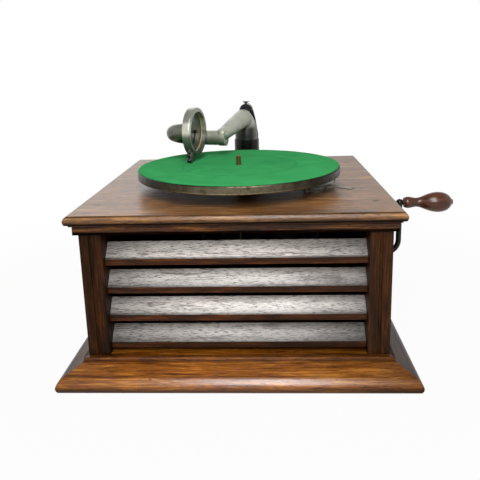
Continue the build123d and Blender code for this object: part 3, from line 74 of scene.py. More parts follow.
def span_along(node, point, axis):
    """How far a node reaches along an axis from a point, and how far out from it."""
    steps = [vertex.co - point for vertex in NODES[node].data.vertices]
    along = [step.dot(axis) for step in steps]
    out = max((step - axis * step.dot(axis)).length for step in steps)
    return min(along), max(along), out


def from_low(node, axis, *stops):
    """Stops in mm up from a node's lowest corner along an axis, as stops in mm from the origin."""
    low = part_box(node)[0]["XYZ".index(axis)] / MM
    return [(low + place, share) for place, share in stops]


SPINDLE = middle_of("turntable_spindle")
FELT_LOW, FELT_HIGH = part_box("felt_mat")
SLAT_BOXES = {number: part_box(f"louvre_slat_{number}") for number in range(1, 5)}
SOCKET_END, SWIVEL_AXIS = axis_of("sound_box_lift")
PIVOT = axis_of("arm_swing")[0]


# Colours and nodes

def paint(code):
    """An sRGB hex colour as the linear colour that a shader reads."""
    parts = [int(code[place:place + 2], 16) / 255 for place in (1, 3, 5)]
    linear = [part / 12.92 if part <= 0.04045 else ((part + 0.055) / 1.055) ** 2.4 for part in parts]
    return (*linear, 1.0)


def shades(*codes):
    """Several sRGB hex colours as linear ones."""
    return [paint(code) for code in codes]


def toned(body, tones):
    """A wood's four colours: its body colour goes between the light and the dark streaks."""
    light, dark, pores = shades(*tones)
    return [light, body, dark, pores]


def grey(share):
    """A share from 0 to 1 as a linear grey."""
    return (share, share, share, 1.0)


def add_node(tree, kind, inputs=(), output=None, stops=(), **settings):
    """Adds one node with its settings, links and colour stops, and gives back the output in use."""
    made = tree.nodes.new(f"ShaderNode{kind}")
    for key, value in settings.items():
        setattr(made, key, value)
    for key, value in inputs.items() if isinstance(inputs, dict) else enumerate(inputs):
        if isinstance(value, bpy.types.NodeSocket):
            tree.links.new(value, made.inputs[key])
        else:
            made.inputs[key].default_value = value
    if stops:
        elements = made.color_ramp.elements
        elements[0].position, elements[0].color = stops[0]
        elements[1].position, elements[1].color = stops[-1]
        for place, colour in stops[1:-1]:
            elements.new(place).color = colour
    if output:
        return made.outputs[output]
    return next((socket for socket in made.outputs if socket.enabled), None)


def new_material(name, **constants):
    """A material with one principled shader, whose constant values are set on its sockets."""
    material = bpy.data.materials.new(name)
    material.use_nodes = True
    tree = material.node_tree
    shader = tree.nodes["Principled BSDF"]
    for key, value in constants.items():
        shader.inputs[key.replace("_", " ")].default_value = value
    return material, tree, shader, add_node(tree, "TexCoord", output="Object")


def surface(tree, shader, height=None, depth_mm=0.0, bump=0.0, **patterns):
    """Links patterns to the shader's inputs of the same names, and a height pattern to its normal."""
    if height:
        patterns["Normal"] = add_node(tree, "Bump", {"Height": height, "Distance": depth_mm * MM,
                                                     "Strength": bump})
    for key, pattern in patterns.items():
        tree.links.new(pattern, shader.inputs[key.replace("_", " ")])


# Patterns

# Nearly all of a noise's values lie between these two
NOISE_SPAN = (0.3, 0.7)


def patches(tree, where, size_mm, detail=4.0, rough=0.55, twist=0.0, stretch=(1, 1, 1)):
    """Random patches about size_mm across, drawn out along an axis by stretch."""
    scale = [1 / (size_mm * MM * share) for share in stretch]
    placed = add_node(tree, "Mapping", {"Vector": where, "Scale": scale})
    return add_node(tree, "TexNoise", {"Vector": placed, "Scale": 1.0, "Detail": detail,
                                       "Roughness": rough, "Distortion": twist})


def grain_stretch(along, times):
    """A pattern drawn out along one axis by so many times its width."""
    return [times if axis == along else 1 for axis in "xyz"]


def out_from(tree, where, centre):
    """Distance from an upright line through a centre."""
    placed = add_node(tree, "Mapping", {"Vector": where, "Location": (-centre.x, -centre.y, 0),
                                        "Scale": (1, 1, 0)})
    return add_node(tree, "VectorMath", (placed,), operation="LENGTH")


def painted_light_share(tree, where, bands):
    """Brightness share along the axes, from (place_mm, share) stops: painted shade and painted highlights.
    """
    whole = None
    for axis, stops in bands.items():
        low, high = stops[0][0], stops[-1][0]
        place = add_node(tree, "SeparateXYZ", (where,), axis)
        along = add_node(tree, "MapRange", (place, low * MM, high * MM))
        share = add_node(tree, "ValToRGB", (along,), stops=[((at - low) / (high - low), grey(level))
                                                            for at, level in stops])
        if whole:
            share = add_node(tree, "Mix", {0: 1.0, 6: whole, 7: share}, data_type="RGBA",
                             blend_type="MULTIPLY")
        whole = share
    return whole


def nail_marks(tree, where, places, size_mm=(2.4, 1.6, 1.6)):
    """Darkness of old filled nail holes at the given places in mm, fading out at their edges."""
    whole = None
    for place in places:
        offset = add_node(tree, "VectorMath", (where, [part * MM for part in place]), operation="SUBTRACT")
        scaled = add_node(tree, "VectorMath", (offset, [1 / (part * MM) for part in size_mm]),
                          operation="MULTIPLY")
        reach = add_node(tree, "VectorMath", (scaled,), operation="LENGTH")
        mark = add_node(tree, "MapRange", (reach, 0.5, 1.1, 0.85, 0.0))
        if whole:
            mark = add_node(tree, "Math", (whole, mark), operation="MAXIMUM")
        whole = mark
    return whole


# Kinds of finish: each takes its colours as linear ones, and rough as the least and the most roughness

def wood(name, colours, along, rough=(0.3, 0.5), gloss=0.5, pore=0.5, grain_mm=2.0, pore_mm=0.9,
         bump=0.3, times=24, bands=None, nails=()):
    """Open-grained timber under old varnish: long streaks, short dark pores and slow changes of tone."""
    light, body, dark, pore_colour = colours
    material, tree, shader, where = new_material(name, Base_Color=body, Specular_IOR_Level=gloss)
    streaks = patches(tree, where, grain_mm, 4.0, 0.68, 0.2, grain_stretch(along, times))
    figure = patches(tree, where, 13.0, 4.0, 0.6, 1.2, grain_stretch(along, times / 3))
    tone = patches(tree, where, 70.0, 3.0, 0.55, 0.3, grain_stretch(along, 2.5))
    both = add_node(tree, "Math", (streaks, figure), operation="ADD")
    depth = add_node(tree, "MapRange", (both, 0.82, 1.18))
    grain = add_node(tree, "ValToRGB", (depth,), stops=[(0.0, dark), (0.36, body), (0.6, body),
                                                        (1.0, light)])
    shade = add_node(tree, "MapRange", (tone, 0.45, 0.68, 0.0, 0.5))
    dyed = add_node(tree, "Mix", {0: shade, 6: grain, 7: dark}, data_type="RGBA")
    # Walnut's pores are about 0.3 mm wide, and are drawn at least three times as wide so that they show
    pores = patches(tree, where, pore_mm, 2.0, 0.6, 0.1, grain_stretch(along, times / 2))
    pits = add_node(tree, "MapRange", (pores, 0.64 - 0.12 * pore, 0.68))
    filled = add_node(tree, "MapRange", (pits, 0.0, 1.0, 0.0, 0.4 + 0.6 * pore))
    dyed = add_node(tree, "Mix", {0: filled, 6: dyed, 7: pore_colour}, data_type="RGBA")
    if nails:
        marks = nail_marks(tree, where, nails)
        dyed = add_node(tree, "Mix", {0: marks, 6: dyed, 7: pore_colour}, data_type="RGBA")
    # Painted shade and highlight: the bands scale the colour, and the gloss with it
    if bands:
        share = painted_light_share(tree, where, bands)
        dyed = add_node(tree, "Mix", {0: 1.0, 6: dyed, 7: share}, data_type="RGBA", blend_type="MULTIPLY")
        shine = add_node(tree, "Math", (share, gloss), operation="MULTIPLY")
        surface(tree, shader, Specular_IOR_Level=shine)
    dull = add_node(tree, "MapRange", (streaks, *NOISE_SPAN, *rough))
    height = add_node(tree, "Math", (streaks, pits), operation="SUBTRACT")
    surface(tree, shader, height, 0.12, bump, Base_Color=dyed, Roughness=dull)
    return material


def plated(name, colours, rough=(0.18, 0.4), spot_mm=6.0, share=0.5, metal=1.0, bands=None):
    """Old nickel plate: bright where it is handled, brown and speckled where it has tarnished."""
    bright, stained = colours
    material, tree, shader, where = new_material(name, Metallic=metal)
    clouds = patches(tree, where, spot_mm * 3, 5.0, 0.65, 0.4)
    specks = patches(tree, where, spot_mm * 0.25, 4.0, 0.7)
    stain = add_node(tree, "Math", (clouds, specks), operation="ADD")
    mask = add_node(tree, "MapRange", (stain, 1.12 - 0.3 * share, 1.22))
    colour = add_node(tree, "Mix", {0: mask, 6: bright, 7: stained}, data_type="RGBA")
    # Painted shade and highlight: the bands scale the plate's colour
    if bands:
        painted_shading = painted_light_share(tree, where, bands)
        colour = add_node(tree, "Mix", {0: 1.0, 6: colour, 7: painted_shading}, data_type="RGBA",
                          blend_type="MULTIPLY")
    dull = add_node(tree, "MapRange", (mask, 0.0, 1.0, *rough))
    surface(tree, shader, stain, 0.05, 0.06, Base_Color=colour, Roughness=dull)
    return material


def machined(name, colours, rough=(0.3, 0.45), line_mm=0.6):
    """Turned or milled metal with faint tool lines and a film of old oil."""
    light, dark = colours
    material, tree, shader, where = new_material(name, Metallic=1.0)
    # Tool lines lie about 0.1 mm apart, and are drawn 0.6 mm or more apart so that they show
    lines = patches(tree, where, line_mm, 3.0, 0.6, 0.0, (9, 9, 1))
    film = patches(tree, where, 14.0, 3.0)
    oil = add_node(tree, "MapRange", (film, 0.4, 0.7))
    colour = add_node(tree, "Mix", {0: oil, 6: light, 7: dark}, data_type="RGBA")
    dull = add_node(tree, "MapRange", (lines, *NOISE_SPAN, *rough))
    surface(tree, shader, lines, 0.02, 0.15, Base_Color=colour, Roughness=dull)
    return material


def coated(name, colours, rough=(0.2, 0.36), gloss=0.4, spot_mm=5.0, wear=0.3):
    """Paint or japan over a casting: slight orange peel, dulled and rubbed in places."""
    body, worn = colours
    material, tree, shader, where = new_material(name, Specular_IOR_Level=gloss)
    rubbed = patches(tree, where, spot_mm * 2.4, 5.0, 0.7)
    peel = patches(tree, where, spot_mm * 0.3, 3.0)
    mask = add_node(tree, "MapRange", (rubbed, 0.66 - 0.2 * wear, 0.72))
    colour = add_node(tree, "Mix", {0: mask, 6: body, 7: worn}, data_type="RGBA")
    dull = add_node(tree, "MapRange", (rubbed, *NOISE_SPAN, *rough))
    surface(tree, shader, peel, 0.04, 0.12, Base_Color=colour, Roughness=dull)
    return material


def cast_arm(name, colours, socket_radius, bands):
    """Pewter-grey lacquer on the cast arm, nickel on the socket at its front, painted shade under the cone.
    """
    lacquer, rubbed, nickel, stained, shade_colour = colours
    material, tree, shader, where = new_material(name)
    wear = patches(tree, where, 16.0, 5.0, 0.65)
    peel = patches(tree, where, 1.6, 3.0)
    # The socket is all that lies within its own radius of the line that the neck swivels on
    from_end = add_node(tree, "VectorMath", (where, SOCKET_END), operation="SUBTRACT")
    across = add_node(tree, "VectorMath", (from_end, SWIVEL_AXIS), operation="CROSS_PRODUCT")
    reach = add_node(tree, "VectorMath", (across,), operation="LENGTH")
    on_socket = add_node(tree, "MapRange", (reach, socket_radius + 0.2 * MM, socket_radius + 0.6 * MM,
                                            1.0, 0.0))
    rub = add_node(tree, "MapRange", (wear, 0.5, 0.72))
    coat = add_node(tree, "Mix", {0: rub, 6: lacquer, 7: rubbed}, data_type="RGBA")
    # Painted shade darkens the sleeve round the pivot on the side that the cone shades, up to the cone
    under_cone_shade = 1.0
    for value, low, high in (
            (add_node(tree, "SeparateXYZ", (where,), "X"), PIVOT.x + 11 * MM, PIVOT.x + 26 * MM),
            (add_node(tree, "SeparateXYZ", (where,), "Z"), PIVOT.z + 34 * MM, PIVOT.z + 44 * MM),
            (out_from(tree, where, PIVOT), 21 * MM, 23 * MM)):
        within = add_node(tree, "MapRange", (value, low, high, 1.0, 0.0))
        under_cone_shade = add_node(tree, "Math", (under_cone_shade, within), operation="MULTIPLY")
    coat = add_node(tree, "Mix", {0: under_cone_shade, 6: coat, 7: shade_colour}, data_type="RGBA")
    tarnish = add_node(tree, "MapRange", (wear, 0.4, 0.65))
    plate = add_node(tree, "Mix", {0: tarnish, 6: nickel, 7: stained}, data_type="RGBA")
    # Painted shade on the socket's underside
    painted_shading = painted_light_share(tree, where, bands)
    plate = add_node(tree, "Mix", {0: 1.0, 6: plate, 7: painted_shading}, data_type="RGBA", blend_type="MULTIPLY")
    colour = add_node(tree, "Mix", {0: on_socket, 6: coat, 7: plate}, data_type="RGBA")
    metal = add_node(tree, "MapRange", (on_socket, 0.0, 1.0, 0.1, 0.45))
    dull = add_node(tree, "MapRange", (wear, *NOISE_SPAN, 0.34, 0.48))
    surface(tree, shader, peel, 0.04, 0.12, Base_Color=colour, Metallic=metal, Roughness=dull)
    return material


def felt(name, colours):
    """Dyed wool felt: short tangled pile, and a ring rubbed darker by the edges of records."""
    bright, deep, fibre = colours
    material, tree, shader, where = new_material(name, Roughness=0.95, Specular_IOR_Level=0.06)
    # Wool fibres are about 0.03 mm thick, and are drawn as tufts of 1.1 mm so that the pile shows
    pile = patches(tree, where, 1.1, 4.0, 0.7)
    mottle = patches(tree, where, 46.0, 3.0, 0.5, 0.6)
    reach = out_from(tree, where, SPINDLE)
    shifted = add_node(tree, "Math", (mottle, 12 * MM, reach), operation="MULTIPLY_ADD")
    along = add_node(tree, "MapRange", (shifted, 80 * MM, 110 * MM))
    ring = add_node(tree, "ValToRGB", (along,), stops=[(0.0, grey(0.12)), (0.34, grey(0.12)),
                                                       (0.42, grey(1.0)), (0.5, grey(0.0)),
                                                       (1.0, grey(0.0))])
    fade = add_node(tree, "MapRange", (mottle, 0.35, 0.7, 0.0, 0.7))
    tone = add_node(tree, "Mix", {0: fade, 6: bright, 7: deep}, data_type="RGBA")
    worn = add_node(tree, "Mix", {0: ring, 6: tone, 7: deep}, data_type="RGBA")
    tufts = add_node(tree, "MapRange", (pile, 0.35, 0.7, 0.0, 0.3))
    colour = add_node(tree, "Mix", {0: tufts, 6: worn, 7: fibre}, data_type="RGBA")
    surface(tree, shader, pile, 0.2, 0.3, Base_Color=colour)
    return material


def soft_skin(name, colours, grain_mm, rough=(0.6, 0.85)):
    """Leather or rubber: a dry, uneven tone, and creases drawn coarser than real ones so that they show."""
    light, dark = colours
    material, tree, shader, where = new_material(name)
    creases = patches(tree, where, grain_mm, 5.0, 0.7, 0.5)
    depth = add_node(tree, "MapRange", (creases, 0.35, 0.65))
    colour = add_node(tree, "Mix", {0: depth, 6: light, 7: dark}, data_type="RGBA")
    dull = add_node(tree, "MapRange", (creases, *NOISE_SPAN, *rough))
    surface(tree, shader, creases, 0.1, 0.4, Base_Color=colour, Roughness=dull)
    return material


def split_mica(name, colours):
    """Split mica: a grey, slightly clouded sheet with a soft gleam."""
    clear, cloudy = colours
    material, tree, shader, where = new_material(name, Transmission_Weight=0.15, IOR=1.58)
    clouds = patches(tree, where, 9.0, 4.0, 0.6, 0.8)
    haze = add_node(tree, "MapRange", (clouds, 0.35, 0.7))
    colour = add_node(tree, "Mix", {0: haze, 6: clear, 7: cloudy}, data_type="RGBA")
    dull = add_node(tree, "MapRange", (clouds, *NOISE_SPAN, 0.1, 0.3))
    surface(tree, shader, Base_Color=colour, Roughness=dull)
    return material


# Tones of each wood beside its body colour: light streaks, dark streaks and pores
AMBER = ("#D88A2E", "#5A2C0C", "#1C0C02")
SHADED = ("#7E5430", "#301C0C", "#140A04")
POST = ("#502C10", "#1A0C03", "#0A0501")
RAIL = ("#8A5622", "#281406", "#0C0502")
BOARD = ("#B07E48", "#472A10", "#1A0C04")
SLAT = ("#FCF6F0", "#948A83", "#2A211C")
EDGE = ("#5C3216", "#1E1007", "#0E0703")
PINE = ("#8E6B42", "#523820", "#33210F")
INSIDE_SHADE = ("#1C130E", "#0B0704", "#060402")
KNOB = ("#5E3420", "#381C10", "#28140C")

# Painted light and shade along an axis, as shares of full brightness
# Base: painted shade at the bottom, under the ledge, on its top and towards the sides; painted highlight on
# the nose
BASE_BANDS = {
    "Z": from_low("base_moulding_front_back", "Z", (0, 0.24), (4, 0.33), (8, 0.62), (10.5, 1.0), (18, 1.0),
                  (19.5, 0.8), (21, 1.0), (28, 0.9), (29.8, 0.35), (32, 0.5), (34.2, 0.9), (35.3, 0.5)),
    "X": [(-240, 0.55), (-140, 0.75), (-60, 1.0), (70, 1.0), (140, 0.62), (240, 0.34)]}
# Rails: painted shade, nearly black along the bottom, under the bead and at the top under the board
RAIL_BANDS = {"Z": from_low("top_rails_front_back", "Z", (0, 0.03), (3, 0.06), (4.4, 0.9), (9.5, 0.9),
                            (11.4, 0.1), (12.6, 0.7), (14.6, 0.1))}
# Board: painted shade on the underside of its edge and in the groove at its top
BOARD_BANDS = {"Z": from_low("top_board", "Z", (0, 0.05), (2, 0.1), (3.2, 0.6), (5.4, 0.9), (10, 1.0),
                             (11, 0.25), (11.6, 1.0))}
# Posts: painted shade, darker at the left
POST_BANDS = {"X": [(-201, 0.7), (-172, 0.75), (172, 1.0)]}
# A louvre's face is painted palest high up and in the middle, as a painted highlight, and dark low
# down as painted shade: lower and upper share by slat, lowest slat first
SLAT_SHARES = {4: (0.34, 0.58), 3: (0.56, 0.94), 2: (0.46, 0.72), 1: (0.95, 1.0)}
SLAT_BANDS = {
    "Z": [stop for number, (lower, upper) in SLAT_SHARES.items()
          for stop in from_low(f"louvre_slat_{number}", "Z", (8.4, 0.2), (10.0, 0.3), (11.4, lower),
                               (20, upper), (30, upper))],
    "X": [(-172, 0.4), (-110, 0.78), (-50, 1.0), (60, 1.0), (120, 0.72), (172, 0.34)]}
# Rim: painted highlight along its lower edge at the front, painted shade above it and towards the back
RIM_BANDS = {"Z": from_low("platter", "Z", (2.05, 1.0), (3.45, 0.9), (4.85, 0.27), (11.45, 0.3),
                           (13.75, 0.1)),
             "Y": from_low("platter", "Y", (0.4, 1.0), (10.4, 0.75), (44.4, 0.16), (344.4, 0.16))}
# Sound box: painted shade low down by the felt and at the top, brightest across the middle
BOX_BANDS = {"Z": from_low("sound_box_ring", "Z", (-6.4, 0.1), (7.6, 0.14), (21.6, 0.26), (35.6, 0.38),
                           (41.6, 1.0), (54.6, 1.0), (59.6, 0.45), (77.6, 0.55))}
# Neck: painted shade on its underside and towards its left end
NECK_BANDS = {"Z": from_low("neck_tube", "Z", (-2.1, 0.16), (9.9, 0.6), (21.9, 1.0)),
              "X": from_low("neck_tube", "X", (0.2, 0.38), (37.2, 0.42), (59.2, 1.0))}
# Socket on the arm: painted shade on its underside
SOCKET_BANDS = {"Z": from_low("neck_tube", "Z", (-2.1, 0.16), (9.9, 0.62), (19.9, 1.0))}
# Filled nail holes, where the photograph shows them, in mm
BASE_NAILS = ((188.5, -230.5, 22.5), (127.7, -236.8, 17.2), (-112.9, -236.5, 17.5))
BOARD_NAILS = ((157.4, -184.2, 232.3), (188.4, -153.6, 232.3))
# Outer radius of the socket at the front of the arm
SOCKET_RADIUS = 13.3 * MM
FINISHES = {}


def make_finishes(colours):
    """Makes every material once, named for what the real part is made of and how it was finished."""
    case = toned(colours.case_varnish, POST)
    rail = toned(colours.rail_varnish, RAIL)
    FINISHES.update({
        # Amber varnish over walnut: a warm glow and a bright nose, with painted shade low down, round the
        # ledge and towards the sides
        "base_front_wood": wood("varnished walnut base, grain left to right",
                                toned(colours.base_varnish, AMBER), "x", (0.2, 0.34), 0.8,
                                bands=BASE_BANDS, nails=BASE_NAILS),
        # The sides are painted a darker brown than the front, as painted shade
        "base_side_wood": wood("varnished walnut base, grain front to back",
                               toned(paint("#523418"), SHADED), "y", (0.3, 0.45), 0.32, bands=BASE_BANDS),
        # Darker, handled varnish on the case: deep brown, with little gloss left but on the mouldings
        "post_wood": wood("dark varnished walnut, upright grain", case, "z", (0.35, 0.55), 0.12,
                          bands=POST_BANDS),
        "rail_wood": wood("dark varnished walnut, grain left to right", rail, "x", (0.22, 0.36), 0.25,
                          bands=RAIL_BANDS),
        "rail_side_wood": wood("dark varnished walnut, grain front to back", rail, "y", (0.25, 0.42), 0.3,
                               bands=RAIL_BANDS),
        "panel_wood": wood("dark varnished walnut side panel", case, "y", (0.35, 0.55), 0.2, 0.5, 3.4),
        "back_wood": wood("dark varnished walnut back panel", case, "x", (0.35, 0.55), 0.2, 0.5, 3.4),
        # The top board is worn satin: brown from above, and it mirrors pale light at a low angle
        "board_wood": wood("varnished walnut top board", toned(colours.board_varnish, BOARD), "x",
                           (0.28, 0.42), 0.5, 0.9, bump=0.6, bands=BOARD_BANDS, nails=BOARD_NAILS),
        # Louvre faces are rubbed pale and keep a shine, their paleness partly a painted sheen, and short
        # dark pores stand out in them; painted highlight and shade come from the slat bands
        "slat_wood": wood("rubbed walnut louvre face", toned(colours.louvre_face, SLAT), "x", (0.3, 0.42),
                          1.0, 1.0, 1.4, 0.9, 0.25, 18, SLAT_BANDS),
        # Louvre edges kept their dark stain and have no shine
        "slat_edge": wood("planed walnut louvre edge", toned(paint("#381E0E"), EDGE), "x", (0.35, 0.55),
                          0.12),
        # Softwood inside is painted nearly black as painted shade in the case, and the bare bottom board is
        # pale and dry
        "pine_painted_dark": wood("dark stained pine inside the case", toned(paint("#120C08"), INSIDE_SHADE), "x",
                             (0.6, 0.8), 0.1, 0.2),
        "bare_pine": wood("bare pine bottom board", toned(paint("#735230"), PINE), "x", (0.55, 0.75),
                          0.3, 0.2),
        # Turned and polished by hand: deep brown with a wet shine
        "knob_wood": wood("polished rosewood crank knob", toned(colours.knob_polish, KNOB), "x",
                          (0.18, 0.22), 0.36, 0.0, 3.5, bump=0.0),
        # Nickel plate of different ages: a brown film on the rim, cream on the sound box, dull grey on
        # the neck, and dark on the small fittings, with painted highlight and shade on the rim, box and
        # neck
        "rim_nickel": plated("tarnished nickel plate on the turntable",
                             [colours.rim_nickel, paint("#655636")], (0.34, 0.46), 4.0, metal=0.8,
                             bands=RIM_BANDS),
        "box_nickel": plated("worn nickel plate on the sound box", [colours.box_nickel, paint("#8E897A")],
                             (0.24, 0.36), 7.0, 0.45, 0.5, BOX_BANDS),
        "neck_nickel": plated("dull nickel plate on the neck", shades("#A2A494", "#7E8072"), (0.28, 0.4),
                              8.0, 0.45, 0.45, NECK_BANDS),
        "small_nickel": plated("nickel plated fittings", shades("#8A8476", "#5C5648"), (0.4, 0.52), 4.0,
                               0.3, 0.8),
        # Bright steel keeps a film of oil; browned steel is nearly chocolate; the motor's steel is painted
        # nearly black, as painted shade inside the case
        "steel": machined("turned steel", shades("#77746E", "#4B4741")),
        "black_steel": machined("oil-blacked steel", shades("#1C1A18", "#100E0C"), (0.45, 0.6)),
        "dark_steel": machined("browned steel", shades("#5E4D3E", "#33271F"), (0.28, 0.42)),
        "spring_steel": machined("oiled spring steel", shades("#4C5054", "#2A2D30")),
        # Copper alloys: the spindle is worn brown, the needle chuck nearly black, brass is still yellow
        "bronze": machined("worn bronze spindle", shades("#8A6A48", "#4A3524"), (0.25, 0.4), 0.8),
        "chuck_silver": machined("darkened nickel silver", shades("#50504A", "#20201C"), (0.28, 0.42)),
        "brass": machined("turned brass", shades("#A9873F", "#6E5527")),
        # Castings and tin: matt grey enamel inside, a deep gloss of stoved black outside, dull lacquer
        "cast_plate": coated("grey machine enamel on cast iron", shades("#262827", "#403E3A"),
                             (0.4, 0.55), 0.2, 6.0),
        "black_japan": coated("black japan on cast iron", [colours.black_japan, paint("#1C1A15")],
                              (0.16, 0.3), 0.25, 6.0, 0.15),
        "black_tin": coated("black lacquer on tin plate", shades("#12100D", "#2E2822"), (0.35, 0.5), 0.3,
                            8.0, 0.2),
        # Lacquered die-cast metal: an even pewter grey with a soft gleam; the last colour is the painted
        # shade under the cone
        "pewter_arm": cast_arm("pewter lacquer on die-cast metal",
                               [colours.arm_lacquer, *shades("#7E7F73", "#AEB0A0", "#7E8070", "#141610")],
                               SOCKET_RADIUS, SOCKET_BANDS),
        # Soft parts: matt wool felt, dry leather, rubber gone grey, and yellowed rubber tubing
        "green_felt": felt("green wool felt", [colours.felt_dye, *shades("#2F8C4E", "#1F6A3C")]),
        "leather": soft_skin("brake leather", shades("#8A5A34", "#5A371E"), 1.2),
        "rubber": soft_skin("perished rubber", shades("#2A2724", "#151312"), 1.6),
        "tubing": soft_skin("yellowed rubber tubing", shades("#BDAF80", "#8C7C50"), 2.2, (0.4, 0.6)),
        # Mica leaves are grey and slightly cloudy, and gleam like thin glass
        "mica": split_mica("split mica diaphragm", shades("#6C6C60", "#57574A")),
    })


# The CAD nodes that wear each finish
WORN_BY = {
    "base_front_wood": "base_moulding_front_back",
    "base_side_wood": "base_moulding_sides",
    "post_wood": "corner_posts",
    "rail_wood": "top_rails_front_back",
    "rail_side_wood": "top_rails_sides",
    "panel_wood": "side_panel_left side_panel_right",
    "back_wood": "back_panel",
    "board_wood": "top_board",
    "slat_wood": "louvre_slat_1 louvre_slat_2 louvre_slat_3 louvre_slat_4",
    "pine_painted_dark": "horn_lid horn_cheeks",
    "bare_pine": "bottom_board",
    "knob_wood": "crank_knob",
    "rim_nickel": "platter",
    "box_nickel": "sound_box_housing sound_box_ring",
    "neck_nickel": "neck_tube",
    "small_nickel": "crank_escutcheon brake_lever brake_pivot_screw",
    "steel": "barrel_arbor governor_shaft intermediate_arbor motor_screws ratchet_pawl regulator_lever "
             "winding_shaft",
    "black_steel": "motor_pillars barrel_drum barrel_lid",
    "dark_steel": "board_screws bracket_screws arm_pivot_screw crank_pin",
    "spring_steel": "mainspring governor_springs",
    "bronze": "turntable_spindle",
    "chuck_silver": "stylus_bar needle_screw",
    "brass": "intermediate_wheel governor_disc governor_weights speed_screw",
    "cast_plate": "motor_bedplate motor_bottom_plate winding_bevel_wheel",
    "black_japan": "arm_bracket crank_arm",
    "black_tin": "horn_throat",
    "pewter_arm": "tone_arm",
    "green_felt": "felt_mat",
    "leather": "brake_pad regulator_pad",
    "rubber": "motor_washers",
    "tubing": "diaphragm_gaskets",
    "mica": "diaphragm",
}
DRESSED_AS = {node: finish for finish, nodes in WORN_BY.items() for node in nodes.split()}


def dress(piece, finish):
    """Gives a piece one finish."""
    piece.data.materials.clear()
    piece.data.materials.append(FINISHES[finish])


# Modelling helpers

# A face counts as facing an axis when its normal's share along it is more than this
FACING = 0.99


def start(name):
    """Names the primitive that was just added and makes it the piece being worked on."""
    piece = bpy.context.active_object
    piece.name = name
    piece.data.name = name
    return piece


def nothing_selected():
    """Leaves nothing selected, so that the next step touches only its own piece."""
    bpy.ops.object.select_all(action="DESELECT")


def edit_all():
    """Enters edit mode with the whole piece selected."""
    bpy.ops.object.mode_set(mode="EDIT")
    bpy.ops.mesh.select_all(action="SELECT")


def pick(piece, kind, test):
    """Enters edit mode with only the faces, edges or vertices that pass the test selected."""
    bpy.ops.object.mode_set(mode="EDIT")
    bpy.ops.mesh.select_mode(type=kind)
    bpy.ops.mesh.select_all(action="DESELECT")
    bpy.ops.object.mode_set(mode="OBJECT")
    mesh = piece.data
    for item in {"FACE": mesh.polygons, "EDGE": mesh.edges, "VERT": mesh.vertices}[kind]:
        item.select = test(item)
    bpy.ops.object.mode_set(mode="EDIT")


def corners(piece, edge):
    """The two end points of an edge."""
    return [piece.data.vertices[index].co for index in edge.vertices]


def tidy(piece, smooth_degrees=35):
    """Merges doubles, turns faces outwards, puts the place into the mesh and smooths round forms."""
    if bpy.context.mode != "OBJECT":
        bpy.ops.object.mode_set(mode="OBJECT")
    nothing_selected()
    piece.select_set(True)
    bpy.context.view_layer.objects.active = piece
    bpy.ops.object.transform_apply(location=True, rotation=True, scale=True)
    edit_all()
    bpy.ops.mesh.remove_doubles(threshold=MM / 100)
    bpy.ops.mesh.normals_make_consistent(inside=False)
    bpy.ops.object.mode_set(mode="OBJECT")
    bpy.ops.object.shade_smooth_by_angle(angle=math.radians(smooth_degrees))
    return piece


def copied(context, piece, name):
    """A copy of a finished piece with a mesh of its own."""
    copy = piece.copy()
    copy.data = piece.data.copy()
    copy.name = name
    copy.data.name = name
    context.scene.collection.objects.link(copy)
    return copy


def bevel_modifier(piece, width, segments=2, degrees=40):
    """Rounds a piece's sharp edges with an applied modifier."""
    rounding = piece.modifiers.new("edge rounding", "BEVEL")
    rounding.width = width
    rounding.segments = segments
    rounding.limit_method = "ANGLE"
    rounding.angle_limit = math.radians(degrees)
    bpy.ops.object.modifier_apply(modifier=rounding.name)


def stop_if_open(piece):
    """Stops with an error unless every edge of a piece joins two faces."""
    uses = dict.fromkeys(piece.data.edge_keys, 0)
    for face in piece.data.polygons:
        for key in face.edge_keys:
            uses[key] += 1
    if set(uses.values()) != {2}:
        raise RuntimeError(f"The surface of {piece.name} isn't closed")


def seat(piece, body, slot, finish, *nodes):
    """Puts a finished piece on its body, in place of the nodes that it stands for."""
    stop_if_open(piece)
    dress(piece, finish)
    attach(piece, body)
    if nodes:
        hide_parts(*nodes)
    return piece


# Settings that a user can change

def sized(name, description, mm):
    """A length that a user can change, with its default in mm."""
    return bpy.props.FloatProperty(name=name, description=description, default=mm * MM, unit="LENGTH")


def coloured(name, description, code):
    """A colour that a user can change, with its default in sRGB hex."""
    return bpy.props.FloatVectorProperty(name=name, description=description, subtype="COLOR", size=4,
                                         default=paint(code))


